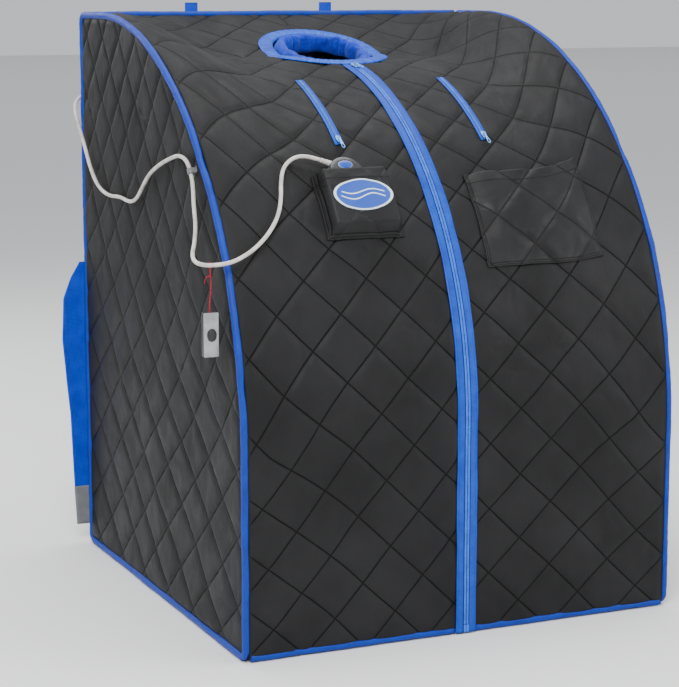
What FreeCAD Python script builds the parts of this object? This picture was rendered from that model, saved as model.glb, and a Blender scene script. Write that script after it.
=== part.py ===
import FreeCAD, Part
import Sketcher
import math
import os

# A one-person sauna tent: quilted fabric panels sewn to two sprung side hoops, a zipped
# front with a neck opening, heater panels inside, and a wired handset in a front pocket.
# Frame: +Z up, the front faces -Y, +X is to the right when facing +Y.
# The origin is on the floor, under the middle of the tent.

V = FreeCAD.Vector
doc = FreeCAD.newDocument("sauna_tent")
dims = doc.addObject("Spreadsheet::Sheet", "dims")

SIZES = [
    # overall
    ("width", 813.0), ("depth", 838.0), ("height", 1041.0),
    # side outline: upright front, quarter circle, flat top; and the sagged centre line
    ("edge_radius", 708.0), ("sag_radius", 589.0), ("sag_rise", 369.0), ("sag_half", 200.0),
    # sewn panels and edge piping
    ("cover_thick", 8.0), ("panel_thick", 8.0), ("panel_gap", 0.2),
    ("pipe_radius", 6.5), ("pipe_bore", 3.6), ("pipe_corner", 16.0),
    ("hoop_radius", 2.5), ("rail_radius", 3.4), ("rail_inset", 12.0),
    ("hem_tall", 13.0), ("hem_thick", 10.0),
    # zipped door flaps
    ("door_top", 365.0), ("fold_gap", 0.4), ("zip_fold_gap", 6.0), ("side_gap", 1.0),
    ("seam_gap", 0.7),
    # main zip
    ("tape_half", 19.0), ("tape_sink", 2.0), ("tape_proud", 0.4), ("coil_half", 4.5),
    ("coil_proud", 2.0), ("zip_top_angle", 78.4), ("stop_tall", 14.0), ("stop_wide", 5.2),
    ("slider_gap", 0.3), ("slider_tall", 4.6), ("slider_half", 6.5), ("slider_angle", 2.6),
    ("main_slider_at", 76.8), ("pull_thick", 1.6), ("pull_half", 4.0), ("pull_long", 32.0),
    # arm zips
    ("arm_zip_x", 140.0), ("arm_zip_low", 50.2), ("arm_zip_high", 70.2), ("arm_tape_half", 8.0),
    ("arm_coil_half", 2.6), ("arm_coil_proud", 2.2), ("arm_slit_half", 2.0),
    ("arm_slider_at", 51.2), ("arm_slider_half", 4.5), ("arm_slider_angle", 1.8),
    ("arm_pull_long", 26.0), ("arm_pull_half", 3.0),
    # neck opening
    ("neck_y", 184.0), ("neck_straight", 22.0), ("ring_radius", 118.0), ("ring_thick", 1.6),
    ("hole_radius", 92.0), ("collar_gap", 4.0), ("collar_wall", 26.0), ("collar_tall", 34.0),
    ("collar_z", 962.0), ("collar_tilt", 12.0),
    # pockets
    ("pocket_wall", 2.5), ("left_pocket_x0", -219.0), ("left_pocket_x1", -78.0),
    ("left_pocket_low", 31.2), ("left_pocket_high", 43.9), ("left_pocket_depth", 28.0),
    ("right_pocket_x0", 66.0), ("right_pocket_x1", 294.0), ("right_pocket_low", 25.1),
    ("right_pocket_high", 44.1), ("right_pocket_depth", 12.0),
    ("badge_x", -147.0), ("badge_angle", 37.8), ("badge_long", 114.0), ("badge_tall", 60.0),
    ("badge_thick", 1.6),
    # handset
    ("handset_x", -160.0), ("handset_angle", 40.0), ("handset_half", 31.0),
    ("handset_low", -58.0), ("handset_round", 27.0), ("handset_lift", 6.0),
    ("handset_split", 9.0), ("handset_front", 9.0), ("handset_wall", 2.0),
    ("handset_corner", 8.0), ("display_wide", 34.0), ("display_tall", 18.0),
    ("display_at", 8.0), ("display_thick", 1.4), ("key_radius", 5.0), ("key_gap", 0.3),
    ("key_proud", 1.2), ("key_long", 5.0), ("key_row", -22.0), ("key_pitch", 17.0),
    ("relief_x", -22.0), ("relief_long", 18.0), ("relief_base", 5.2), ("relief_tip", 4.0),
    ("cord_gap", 0.3),
    # cord and what holds it
    ("cord_radius", 3.5), ("clip_long", 10.0), ("clip_wall", 1.6), ("clip_slack", 0.7),
    ("clip_flange", 4.0), ("gland_slack", 0.1), ("clip_cord_x", 413.0), ("clip_y", -213.0),
    ("clip_z", 786.0),
    ("clip_tilt", 54.0),
    # heaters
    ("heater_thick", 5.0), ("heater_gap", 0.4), ("side_heater_y0", -150.0),
    ("side_heater_y1", 330.0), ("heater_z0", 150.0), ("heater_z1", 740.0),
    ("back_heater_half", 250.0),
    # power box on the back
    ("box_x0", -340.0), ("box_x1", -240.0), ("box_z0", 810.0), ("box_z1", 930.0),
    ("box_base_deep", 8.0), ("box_lid_deep", 24.0), ("box_wall", 2.4), ("box_gap", 0.2),
    ("gland_radius", 8.0), ("gland_long", 14.0), ("gland_z", 885.0),
    ("inlet_wide", 28.0), ("inlet_deep", 20.0), ("inlet_long", 20.0), ("screw_radius", 2.0),
    ("screw_inset", 8.0), ("screw_head", 3.6),
    # webbing
    ("strap_thick", 2.4), ("strap_off", 3.4), ("strap_top", 560.0), ("strap_low", 36.0),
    ("strap_wide", 50.0), ("patch_tall", 80.0), ("patch_thick", 1.0), ("tab_half", 12.5),
    ("tab_thick", 2.0), ("tab_up", 16.0), ("tab_down", 44.0), ("left_tab_x", -176.0),
    ("right_tab_x", 109.0),
    # pendant switch
    ("pendant_x", -434.0), ("pendant_y", -355.0), ("string_radius", 0.9),
    ("string_top", 643.5), ("pendant_top", 572.0), ("pendant_low", 500.0),
    ("pendant_wide", 25.0), ("pendant_back", 9.0), ("pendant_front", 6.0),
    ("pendant_key", 6.0), ("pendant_key_proud", 1.6),
]
for row, (alias, value) in enumerate(SIZES, start=1):
    dims.set("A%d" % row, alias)
    dims.set("B%d" % row, str(value))
    dims.setAlias("B%d" % row, alias)
doc.recompute()


def d(text):
    """Turn short size names in braces into sheet references."""
    return text.replace("{", "dims.").replace("}", "")


def num(text):
    return float(dims.evalExpression(d(text)))


HALF_W = "({width} / 2)"
HALF_D = "({depth} / 2)"
PIPE_X = "({width} / 2 - {pipe_radius})"
INNER_X = "({width} / 2 - 2 * {pipe_radius})"
ARC_Y = "({sag_radius} - {depth} / 2)"
ARC_Z = "{sag_rise}"
SAG_TOP = "({sag_rise} + {sag_radius})"
EDGE_Y = "({edge_radius} - {depth} / 2)"
EDGE_Z = "({height} - {edge_radius})"
FOLD_RISE = "(({door_top} - {hem_tall}) / " + INNER_X + ")"

pieces = []


def new_body(name):
    body = doc.addObject("PartDesign::Body", name)
    body.Label = name
    pieces.append(body)
    return body


def origin_plane(body, role):
    return [item for item in body.Origin.OriginFeatures if item.Role == role][0]


def place(item, x="0", y="0", z="0", tilt=None, axis=(1, 0, 0), prefix=".AttachmentOffset"):
    """Bind an offset to sheet expressions; tilt turns it about the given axis."""
    turn = 0.0 if tilt is None else num(tilt)
    spin = FreeCAD.Rotation(V(*axis), turn)
    value = FreeCAD.Placement(V(num(x), num(y), num(z)), spin)
    setattr(item, prefix[1:], value)
    for letter, text in (("x", x), ("y", y), ("z", z)):
        item.setExpression(prefix + ".Base." + letter, d(text))
    if tilt is not None:
        item.setExpression(prefix + ".Rotation.Angle", d(tilt))


def bind(sketch, kind, geo, pos, text):
    """Hold one coordinate of a sketch point at a sheet expression."""
    index = sketch.addConstraint(Sketcher.Constraint(kind, -1, 1, geo, pos, num(text)))
    sketch.setExpression("Constraints[%d]" % index, d(text))


def bind_point(sketch, geo, pos, point):
    for kind, text in zip(("DistanceX", "DistanceY"), point):
        if not text.startswith("~"):
            bind(sketch, kind, geo, pos, text)


def draw(body, name, role, loops=(), arcs=None, circles=(), x="0", y="0", z="0", tilt=None):
    """Draw closed loops of lines, some of them arcs, and circles, all bound to the sheet.

    A coordinate that starts with ~ is left to the sketch solver. arcs maps
    (loop, corner) to the centre of the arc that leaves that corner.
    """
    arcs = arcs or {}
    sketch = body.newObject("Sketcher::SketchObject", name)
    sketch.AttachmentSupport = [(origin_plane(body, role), "")]
    sketch.MapMode = "FlatFace"
    place(sketch, x, y, z, tilt)
    for which, loop in enumerate(loops):
        spots = [V(num(px.lstrip("~")), num(py.lstrip("~")), 0) for px, py in loop]
        first = sketch.GeometryCount
        starts, ends = [], []
        for i, here in enumerate(spots):
            there = spots[(i + 1) % len(spots)]
            centre = arcs.get((which, i))
            if centre is None:
                sketch.addGeometry(Part.LineSegment(here, there), False)
                starts.append(1)
                ends.append(2)
                continue
            middle = V(num(centre[0]), num(centre[1]), 0)
            out, back = here - middle, there - middle
            clockwise = (out.cross(back)).z < -1e-6
            first_way, last_way = (back, out) if clockwise else (out, back)
            angles = [math.atan2(way.y, way.x) for way in (first_way, last_way)]
            circle = Part.Circle(middle, V(0, 0, 1), out.Length)
            sketch.addGeometry(Part.ArcOfCircle(circle, *angles), False)
            starts.append(2 if clockwise else 1)
            ends.append(1 if clockwise else 2)
        for i in range(len(spots)):
            nxt = (i + 1) % len(spots)
            join = Sketcher.Constraint("Coincident", first + i, ends[i], first + nxt, starts[nxt])
            sketch.addConstraint(join)
        for i, point in enumerate(loop):
            bind_point(sketch, first + i, starts[i], point)
            if (which, i) in arcs:
                bind_point(sketch, first + i, 3, arcs[(which, i)])
    for cx, cy, radius in circles:
        ring = Part.Circle(V(num(cx), num(cy), 0), V(0, 0, 1), num(radius))
        geo = sketch.addGeometry(ring, False)
        bind_point(sketch, geo, 3, (cx, cy))
        index = sketch.addConstraint(Sketcher.Constraint("Radius", geo, num(radius)))
        sketch.setExpression("Constraints[%d]" % index, d(radius))
    return sketch


def pad(body, sketch, length, symmetric=False, backward=False):
    feature = body.newObject("PartDesign::Pad", body.Name + "_pad")
    feature.Profile = sketch
    feature.SideType = "Symmetric" if symmetric else "One side"
    feature.Reversed = backward
    feature.setExpression("Length", d(length))
    return feature


def pocket(body, sketch, length, symmetric=True, backward=False):
    """Cut a sketch through; the volume has to drop."""
    doc.recompute()
    before = body.Shape.Volume
    feature = body.newObject("PartDesign::Pocket", body.Name + "_cut")
    feature.Profile = sketch
    feature.SideType = "Symmetric" if symmetric else "One side"
    feature.Reversed = backward
    feature.setExpression("Length", d(length))
    doc.recompute()
    if body.Shape.Volume >= before:
        raise RuntimeError("%s cuts nothing" % feature.Name)
    return feature


def swing(body, sketch, angle, groove=False):
    """Turn a sketch about its own horizontal axis, half the angle each way."""
    doc.recompute()
    before = body.Shape.Volume if groove else 0.0
    kind = "PartDesign::Groove" if groove else "PartDesign::Revolution"
    feature = body.newObject(kind, body.Name + ("_groove" if groove else "_turn"))
    feature.Profile = sketch
    feature.ReferenceAxis = (sketch, ["H_Axis"])
    feature.Midplane = True
    feature.setExpression("Angle", d(angle))
    doc.recompute()
    if groove and body.Shape.Volume >= before:
        raise RuntimeError("%s cuts nothing" % feature.Name)
    return feature


def box_loop(x0, x1, y0, y1):
    return [(x0, y0), (x1, y0), (x1, y1), (x0, y1)]


def on_arc(body, name, loop, low, high, groove=False):
    """Sweep a loop of (x, height over the cover) round the cover's front arc.

    low and high are angles up from the front, about the arc's own centre line.
    """
    raised = [(px, "{sag_radius} + (%s)" % off) for px, off in loop]
    tilt = "90 - ((%s) + (%s)) / 2" % (low, high)
    sketch = draw(body, name, "XZ_Plane", [raised], y=ARC_Z, z="-" + ARC_Y, tilt=tilt)
    return swing(body, sketch, "(%s) - (%s)" % (high, low), groove)


def arc_spot(angle, lift="0"):
    """Offset of a point above the front arc, in the XZ plane's own axes."""
    reach = "({sag_radius} + %s)" % lift
    up = ARC_Z + " + " + reach + " * sin((%s) * 1deg)" % angle
    forward = reach + " * cos((%s) * 1deg) - " % angle + ARC_Y
    return up, forward


def fold_z(x_from_edge):
    """Height of the door's fold line, a distance in from the side piping."""
    return "({hem_tall} + (%s) * %s)" % (x_from_edge, FOLD_RISE)


def centre_profile(body, name, x):
    """Section of the sagged middle of the cover."""
    loop = [
        ("-" + HALF_D, "{hem_tall}"),
        ("-" + HALF_D, "{sag_rise}"),
        (ARC_Y, "~" + SAG_TOP),
        (HALF_D + " - 2 * {pipe_radius}", "{height}"),
        (HALF_D + " - 2 * {pipe_radius}", "{height} - {cover_thick}"),
        (ARC_Y, "~" + SAG_TOP + " - {cover_thick}"),
        ("-" + HALF_D + " + {cover_thick}", "{sag_rise}"),
        ("-" + HALF_D + " + {cover_thick}", "{hem_tall}"),
    ]
    arcs = {(0, 1): (ARC_Y, ARC_Z), (0, 5): (ARC_Y, ARC_Z)}
    return draw(body, name, "YZ_Plane", [loop], arcs, z=x)


def edge_profile(body, name, x):
    """Section of the cover where it is sewn to a side hoop."""
    loop = [
        ("-" + HALF_D, "{hem_tall}"),
        ("-" + HALF_D, EDGE_Z),
        (EDGE_Y, "~{height}"),
        (HALF_D + " - 2 * {pipe_radius}", "{height}"),
        (HALF_D + " - 2 * {pipe_radius}", "{height} - {cover_thick}"),
        (EDGE_Y, "~{height} - {cover_thick}"),
        ("-" + HALF_D + " + {cover_thick}", EDGE_Z),
        ("-" + HALF_D + " + {cover_thick}", "{hem_tall}"),
    ]
    arcs = {(0, 1): (EDGE_Y, EDGE_Z), (0, 5): (EDGE_Y, EDGE_Z)}
    return draw(body, name, "YZ_Plane", [loop], arcs, z=x)


def oval(radius):
    """Loop and arcs of the neck opening's outline, seen from above."""
    half = "{neck_straight} / 2"
    loop = [
        ("~" + radius, "-" + half), (radius, half),
        ("~-" + radius, half), ("-" + radius, "-" + half),
    ]
    arcs = {1: ("0", half), 3: ("0", "-" + half)}
    return loop, arcs


def front_cover():
    body = new_body("front_cover")
    middle = centre_profile(body, "cover_middle", "0")
    pad(body, middle, "2 * {sag_half}", symmetric=True)
    for side, sign in (("left", "-"), ("right", "")):
        inner = centre_profile(body, "cover_%s_inner" % side, sign + "{sag_half}")
        outer = edge_profile(body, "cover_%s_outer" % side, sign + INNER_X)
        loft = body.newObject("PartDesign::AdditiveLoft", "cover_%s_loft" % side)
        loft.Profile = inner
        loft.Sections = [outer]
        loft.Ruled = True
    doc.recompute()
    loop, arcs = oval("{hole_radius}")
    hole = draw(body, "neck_hole", "XY_Plane", [loop], {(0, k): a for k, a in arcs.items()},
                y="{neck_y}")
    pocket(body, hole, "3 * {height}")
    slot = box_loop("-{tape_half}", "{tape_half}", "-2 * {cover_thick}", "2 * {cover_thick}")
    on_arc(body, "zip_slot", slot, "0", "{zip_top_angle}", groove=True)
    low = fold_z("0")
    doors = [
        ("-" + INNER_X + " - {pipe_radius}", "-1"), (INNER_X + " + {pipe_radius}", "-1"),
        (INNER_X + " + {pipe_radius}", low), (INNER_X, low),
        ("{tape_half}", fold_z(INNER_X + " - {tape_half}")), ("{tape_half}", "{sag_rise}"),
        ("-{tape_half}", "{sag_rise}"), ("-{tape_half}", fold_z(INNER_X + " - {tape_half}")),
        ("-" + INNER_X, low), ("-" + INNER_X + " - {pipe_radius}", low),
    ]
    cut = draw(body, "door_cut", "XZ_Plane", [doors], z=HALF_D)
    pocket(body, cut, "4 * {cover_thick}")
    for side, sign in (("left", "-"), ("right", "")):
        slit = box_loop(sign + "{arm_zip_x} - {arm_slit_half}",
                        sign + "{arm_zip_x} + {arm_slit_half}",
                        "-2 * {cover_thick}", "2 * {cover_thick}")
        on_arc(body, "arm_slit_" + side, slit, "{arm_zip_low} + 0.6",
               "{arm_zip_high} - 0.6", groove=True)
    return body


def side_outline(inset, bend):
    """Side profile drawn in from the tent's edge by an inset, with rounded corners."""
    front, back = "-" + HALF_D + " + " + inset, HALF_D + " - " + inset
    top = "{height} - " + inset
    loop = [
        ("~" + front, inset + " + " + bend), (front, EDGE_Z),
        (EDGE_Y, "~" + top), (back + " - " + bend, top),
        ("~" + back, top + " - " + bend), (back, inset + " + " + bend),
        (back + " - " + bend, "~" + inset), (front + " + " + bend, inset),
    ]
    arcs = {
        (0, 1): (EDGE_Y, EDGE_Z),
        (0, 3): (back + " - " + bend, top + " - " + bend),
        (0, 5): (back + " - " + bend, inset + " + " + bend),
        (0, 7): (front + " + " + bend, inset + " + " + bend),
    }
    return loop, arcs


def side_panel(name, sign):
    body = new_body(name)
    loop, arcs = side_outline("(2 * {pipe_radius} + {panel_gap})",
                              "({pipe_corner} - {pipe_radius} - {panel_gap})")
    sketch = draw(body, name + "_outline", "YZ_Plane", [loop], arcs, z=sign + PIPE_X)
    pad(body, sketch, "{panel_thick}", symmetric=True)


def back_panel():
    body = new_body("back_panel")
    loop = box_loop("-" + INNER_X, INNER_X, "{hem_tall}", "{height} - 2 * {pipe_radius}")
    sketch = draw(body, "back_outline", "XZ_Plane", [loop], z="-" + HALF_D)
    pad(body, sketch, "{panel_thick}")


def hoop(name, sign, radius, bore=None):
    """A closed loop of round stock along the side outline: piping or the rod in it."""
    body = new_body(name)
    loop, arcs = side_outline("{pipe_radius}", "{pipe_corner}")
    path = draw(body, name + "_path", "YZ_Plane", [loop], arcs, z=sign + PIPE_X)
    front = "-" + HALF_D + " + {pipe_radius}"
    kinds = [("PartDesign::AdditivePipe", radius)]
    if bore:
        kinds.append(("PartDesign::SubtractivePipe", bore))
    for kind, size in kinds:
        section = draw(body, name + "_section", "XY_Plane",
                       circles=[(sign + PIPE_X, front, size)],
                       z="{pipe_radius} + {pipe_corner}")
        pipe = body.newObject(kind, name + "_pipe")
        pipe.Profile = section
        pipe.Spine = path
    doc.recompute()
    return body


def along_x(name, y, z, radii, half):
    """Round stock that runs straight across the tent."""
    body = new_body(name)
    sketch = draw(body, name + "_section", "YZ_Plane", circles=[(y, z, r) for r in radii])
    pad(body, sketch, "2 * (%s)" % half, symmetric=True)


def back_hem():
    body = new_body("back_hem")
    loop = box_loop(HALF_D + " - {hem_thick}", HALF_D, "0", "{hem_tall}")
    sketch = draw(body, "back_hem_section", "YZ_Plane", [loop])
    pad(body, sketch, "2 * " + INNER_X, symmetric=True)


def heater(name, x0, x1, y0, y1):
    body = new_body(name)
    sketch = draw(body, name + "_outline", "XY_Plane", [box_loop(x0, x1, y0, y1)],
                  z="{heater_z0}")
    pad(body, sketch, "{heater_z1} - {heater_z0}")


def collar_ring():
    """Flat webbing ring sewn round the neck opening, following the cover."""
    body = new_body("collar_ring")
    reach = "({ring_radius} + {neck_straight} / 2)"
    front, back = "({neck_y} - %s)" % reach, "({neck_y} + %s)" % reach
    slope = "(({height} - %s) / (%s - 2 * {pipe_radius} - %s))" % (SAG_TOP, HALF_D, ARC_Y)
    rise = "sqrt({sag_radius} ^ 2 - (%s - %s) ^ 2)" % (ARC_Y, front)
    back_z = SAG_TOP + " + (%s - %s) * %s" % (back, ARC_Y, slope)
    loop = [
        (ARC_Y, SAG_TOP), (back, back_z), (back, back_z + " + {ring_thick}"),
        (ARC_Y, SAG_TOP + " + {ring_thick}"),
        (front, "~" + ARC_Z + " + {ring_thick} + " + rise), (front, "~" + ARC_Z + " + " + rise),
    ]
    arcs = {(0, 3): (ARC_Y, ARC_Z + " + {ring_thick}"), (0, 5): (ARC_Y, ARC_Z)}
    band = draw(body, "ring_band", "YZ_Plane", [loop], arcs)
    pad(body, band, "2 * {ring_radius}", symmetric=True)
    inner, inner_arcs = oval("{hole_radius}")
    far = "3 * {ring_radius}"
    outer, outer_arcs = oval("{ring_radius}")
    rim = box_loop("-" + far, far, "-" + far, far)
    arcs = {(0, k): a for k, a in inner_arcs.items()}
    hole = draw(body, "ring_hole", "XY_Plane", [inner], arcs, y="{neck_y}")
    pocket(body, hole, "3 * {height}")
    arcs = {(1, k): a for k, a in outer_arcs.items()}
    trim = draw(body, "ring_trim", "XY_Plane", [rim, outer], arcs, y="{neck_y}")
    pocket(body, trim, "3 * {height}")


def neck_collar():
    """Soft rolled collar that closes the opening round the neck."""
    body = new_body("neck_collar")
    outer, outer_arcs = oval("({hole_radius} - {collar_gap})")
    inner, inner_arcs = oval("({hole_radius} - {collar_gap} - {collar_wall})")
    arcs = {(0, k): a for k, a in outer_arcs.items()}
    arcs.update({(1, k): a for k, a in inner_arcs.items()})
    sketch = draw(body, "collar_outline", "XY_Plane", [outer, inner], arcs,
                  y="{neck_y}", z="{collar_z}", tilt="{collar_tilt}")
    pad(body, sketch, "{collar_tall}", symmetric=True)


def main_zip():
    """Upper zip: tape and coil round the arc, ending in a point where the doors fold."""
    flat = [
        ("main_zip_tape", "{tape_half}", "-{tape_sink}", "{tape_proud}"),
        ("main_zip_coil", "{coil_half}", "{tape_proud}", "{coil_proud}"),
    ]
    for name, half, low, high in flat:
        body = new_body(name)
        on_arc(body, name + "_arc", box_loop("-" + half, half, low, high),
               "0", "{zip_top_angle}")
        tip = fold_z(INNER_X + " - " + half) + " + {fold_gap}"
        loop = [
            ("-" + half, tip), ("0", "{door_top} + {fold_gap}"), (half, tip),
            (half, "{sag_rise}"), ("-" + half, "{sag_rise}"),
        ]
        tail = draw(body, name + "_tail", "XZ_Plane", [loop], z=HALF_D + " + (%s)" % low)
        pad(body, tail, "(%s) - (%s)" % (high, low))


def arm_zip(side, sign):
    body = new_body(side + "_arm_zip")
    x = sign + "{arm_zip_x}"
    loop = [
        (x + " - {arm_tape_half}", "0"), (x + " + {arm_tape_half}", "0"),
        (x + " + {arm_tape_half}", "{tape_proud} + 0.4"),
        (x + " + {arm_coil_half}", "{tape_proud} + 0.4"),
        (x + " + {arm_coil_half}", "{arm_coil_proud}"),
        (x + " - {arm_coil_half}", "{arm_coil_proud}"),
        (x + " - {arm_coil_half}", "{tape_proud} + 0.4"),
        (x + " - {arm_tape_half}", "{tape_proud} + 0.4"),
    ]
    on_arc(body, side + "_arm_zip_arc", loop, "{arm_zip_low}", "{arm_zip_high}")


def slider(name, x, half, base, angle, span):
    """A zip slider that rides over the coil, with a bridge that holds its pull."""
    body = new_body(name)
    floor = "(%s + {slider_gap})" % base
    top = "(%s + {slider_tall})" % floor
    on_arc(body, name + "_shoe", box_loop(x + " - " + half, x + " + " + half, floor,
                                          floor + " + {slider_tall} * 0.6"),
           "%s - %s / 2" % (angle, span), "%s + %s / 2" % (angle, span))
    on_arc(body, name + "_bridge", box_loop(x + " - " + half + " * 0.3",
                                            x + " + " + half + " * 0.3",
                                            floor + " + {slider_tall} * 0.5", top),
           "%s - %s / 4" % (angle, span), "%s + %s / 4" % (angle, span))


def zip_pull(name, x, half, base, angle, length):
    """A flat pull tab that hangs from the slider's bridge, down the cover."""
    body = new_body(name)
    lift = "(%s + {slider_gap} + {slider_tall} + 0.3)" % base
    up, forward = arc_spot(angle, lift)
    sketch = draw(body, name + "_outline", "XZ_Plane",
                  [box_loop("-" + half, half, "-" + length, "0")],
                  x=x, y=up, z=forward, tilt="-(%s)" % angle)
    pad(body, sketch, "{pull_thick}")


def front_pocket(side):
    """A patch pocket on the cover's arc, open along its upper edge."""
    x0, x1 = "{%s_pocket_x0}" % side, "{%s_pocket_x1}" % side
    low, high = "{%s_pocket_low}" % side, "{%s_pocket_high}" % side
    depth, wall = "{%s_pocket_depth}" % side, "{pocket_wall}"
    body = doc.addObject("PartDesign::Body", side + "_pocket_block")
    step = "(%s / {sag_radius} * 180 / pi)" % wall
    on_arc(body, side + "_pocket_outer", box_loop(x0, x1, "-1", depth + " + " + wall),
           low, high)
    on_arc(body, side + "_pocket_hollow",
           box_loop(x0 + " + " + wall, x1 + " - " + wall, "-2", depth),
           low + " + " + step, high + " + 1", groove=True)
    trimmed = doc.addObject("Part::Cut", side + "_pocket")
    trimmed.Base = body
    trimmed.Tool = cover
    trimmed.Label = side + "_pocket"
    pieces.append(trimmed)


def badge():
    """Oval patch sewn to the front of the left pocket."""
    body = new_body("pocket_badge")
    lift = "({left_pocket_depth} + {pocket_wall})"
    up, forward = arc_spot("{badge_angle}", lift)
    cap = "({badge_tall} / 2)"
    run = "({badge_long} / 2 - {badge_tall} / 2)"
    loop = [("-" + run, "~-" + cap), (run, "-" + cap), (run, "~" + cap), ("-" + run, cap)]
    arcs = {(0, 1): (run, "0"), (0, 3): ("-" + run, "0")}
    sketch = draw(body, "badge_outline", "XZ_Plane", [loop], arcs, x="{badge_x}",
                  y=up, z=forward, tilt="-{badge_angle}")
    pad(body, sketch, "{badge_thick}")


def flap(side, sign):
    """One door half below the fold: panel, bottom hem and its side of the zip."""
    edge = INNER_X + " - {side_gap}"
    outer = sign + "(" + edge + ")"
    tape = sign + "({tape_half} + {panel_gap})"
    seam = sign + "{seam_gap}"
    body = new_body(side + "_flap_panel")
    loop = [
        (outer, "{hem_tall}"), (tape, "{hem_tall}"),
        (tape, fold_z(INNER_X + " - {tape_half} - {panel_gap}") + " - {fold_gap}"),
        (outer, fold_z("{side_gap}") + " - {fold_gap}"),
    ]
    sketch = draw(body, side + "_flap_outline", "XZ_Plane", [loop], z=HALF_D)
    pad(body, sketch, "{cover_thick}", backward=True)
    body = new_body(side + "_flap_hem")
    loop = box_loop(outer, tape, "0", "{hem_tall}")
    sketch = draw(body, side + "_hem_outline", "XZ_Plane", [loop], z=HALF_D)
    pad(body, sketch, "{hem_thick}", backward=True)
    body = new_body(side + "_flap_zip")
    rows = [
        ("{tape_half}", "2", "-{tape_sink}", "{tape_proud}"),
        ("{coil_half}", "{stop_tall} + 2.2", "{tape_proud}", "{coil_proud}"),
    ]
    for half, foot, low, high in rows:
        far = sign + half
        loop = [
            (seam, foot), (far, foot),
            (far, fold_z(INNER_X + " - " + half) + " - {zip_fold_gap}"),
            (seam, fold_z(INNER_X + " - {seam_gap}") + " - {zip_fold_gap}"),
        ]
        sketch = draw(body, side + "_zip_row_" + half.strip("{}"), "XZ_Plane", [loop],
                      z=HALF_D + " + (%s)" % low)
        pad(body, sketch, "(%s) - (%s)" % (high, low))
    name = "zip_pin" if side == "left" else "zip_retainer_box"
    body = new_body(name)
    wide = "{coil_half}" if side == "left" else "{stop_wide}"
    loop = box_loop(seam, sign + wide, "2", "{stop_tall} + 2")
    sketch = draw(body, name + "_outline", "XZ_Plane", [loop],
                  z=HALF_D + " + {tape_proud}")
    pad(body, sketch, "{coil_proud} - {tape_proud}")


def handset_outline(inset):
    """Loop and arcs of the handset's outline: square foot, domed head."""
    half = "({handset_half} - (%s))" % inset
    foot = "({handset_low} + (%s))" % inset
    loop = [
        ("-" + half, foot), (half, foot), (half, "{handset_round}"),
        ("~-" + half, "{handset_round}"),
    ]
    return loop, {(0, 2): ("0", "{handset_round}")}


def on_handset(body, name, loops=(), arcs=None, circles=(), lift="0"):
    """A sketch in the handset's own plane, a height above the cover."""
    up, forward = arc_spot("{handset_angle}", "(%s)" % lift)
    return draw(body, name, "XZ_Plane", loops, arcs, circles, x="{handset_x}",
                y=up, z=forward, tilt="-{handset_angle}")


def handset():
    back = new_body("handset_back_shell")
    loop, arcs = handset_outline("0")
    pad(back, on_handset(back, "back_shell", [loop], arcs, lift="{handset_lift}"),
        "{handset_split}")
    loop, arcs = handset_outline("{handset_wall}")
    rim = "{handset_lift} + {handset_split}"
    pocket(back, on_handset(back, "back_hollow", [loop], arcs, lift=rim),
           "2 * ({handset_split} - {handset_wall})")
    face = new_body("handset_front_shell")
    loop, arcs = handset_outline("0")
    pad(face, on_handset(face, "front_shell", [loop], arcs, lift=rim), "{handset_front}")
    loop, arcs = handset_outline("{handset_wall}")
    pocket(face, on_handset(face, "front_hollow", [loop], arcs, lift=rim),
           "2 * ({handset_front} - {handset_wall})")
    top = rim + " + {handset_front}"
    window = box_loop("-{display_wide} / 2", "{display_wide} / 2",
                      "{display_at} - {display_tall} / 2", "{display_at} + {display_tall} / 2")
    pocket(face, on_handset(face, "window", [window], lift=top), "2 * {display_thick}")
    holes = [(key_x(k), "{key_row}", "{key_radius} + {key_gap}") for k in range(3)]
    pocket(face, on_handset(face, "key_holes", circles=holes, lift=top),
           "3 * {handset_wall}")
    lens = new_body("handset_display")
    pad(lens, on_handset(lens, "lens", [window], lift=top + " - {display_thick}"),
        "{display_thick}")
    for k, name in enumerate(("time_key", "power_key", "heat_key")):
        key = new_body(name)
        spot = [(key_x(k), "{key_row}", "{key_radius}")]
        pad(key, on_handset(key, name + "_disc", circles=spot,
                            lift=top + " + {key_proud} - {key_long}"), "{key_long}")


def key_x(k):
    return "(%d - 1) * {key_pitch}" % k


def frame_of(angle):
    """Up-slope and outward directions on the front arc, as plain vectors."""
    turn = math.radians(num(angle))
    return V(0, math.sin(turn), math.cos(turn)), V(0, -math.cos(turn), math.sin(turn))


def handset_point(x, along, lift):
    slope, out = frame_of("{handset_angle}")
    base = V(num("{handset_x} + " + x), num(ARC_Y), num(ARC_Z))
    return base + out * num("{sag_radius} + " + lift) + slope * num(along)


def strain_relief():
    """Tapered sleeve out of the handset's domed head."""
    slope, out = frame_of("{handset_angle}")
    reach = "sqrt({handset_half} ^ 2 - {relief_x} ^ 2)"
    start = handset_point("{relief_x}", "{handset_round} + %s + 0.3" % reach,
                          "{handset_lift} + {handset_split}")
    aim = (V(-0.9, 0, 0) + slope * 0.436).normalize()
    length = num("{relief_long}")
    cone = Part.makeCone(num("{relief_base}"), num("{relief_tip}"), length, start, aim)
    piece = doc.addObject("Part::Feature", "handset_strain_relief")
    piece.Shape = cone.cut(doc.getObject("handset_front_shell").Shape).cut(
        doc.getObject("handset_back_shell").Shape)
    piece.Label = "handset_strain_relief"
    piece.Placement = FreeCAD.Placement()
    pieces.append(piece)
    return start + aim * (length + num("{cord_gap}"))


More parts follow.
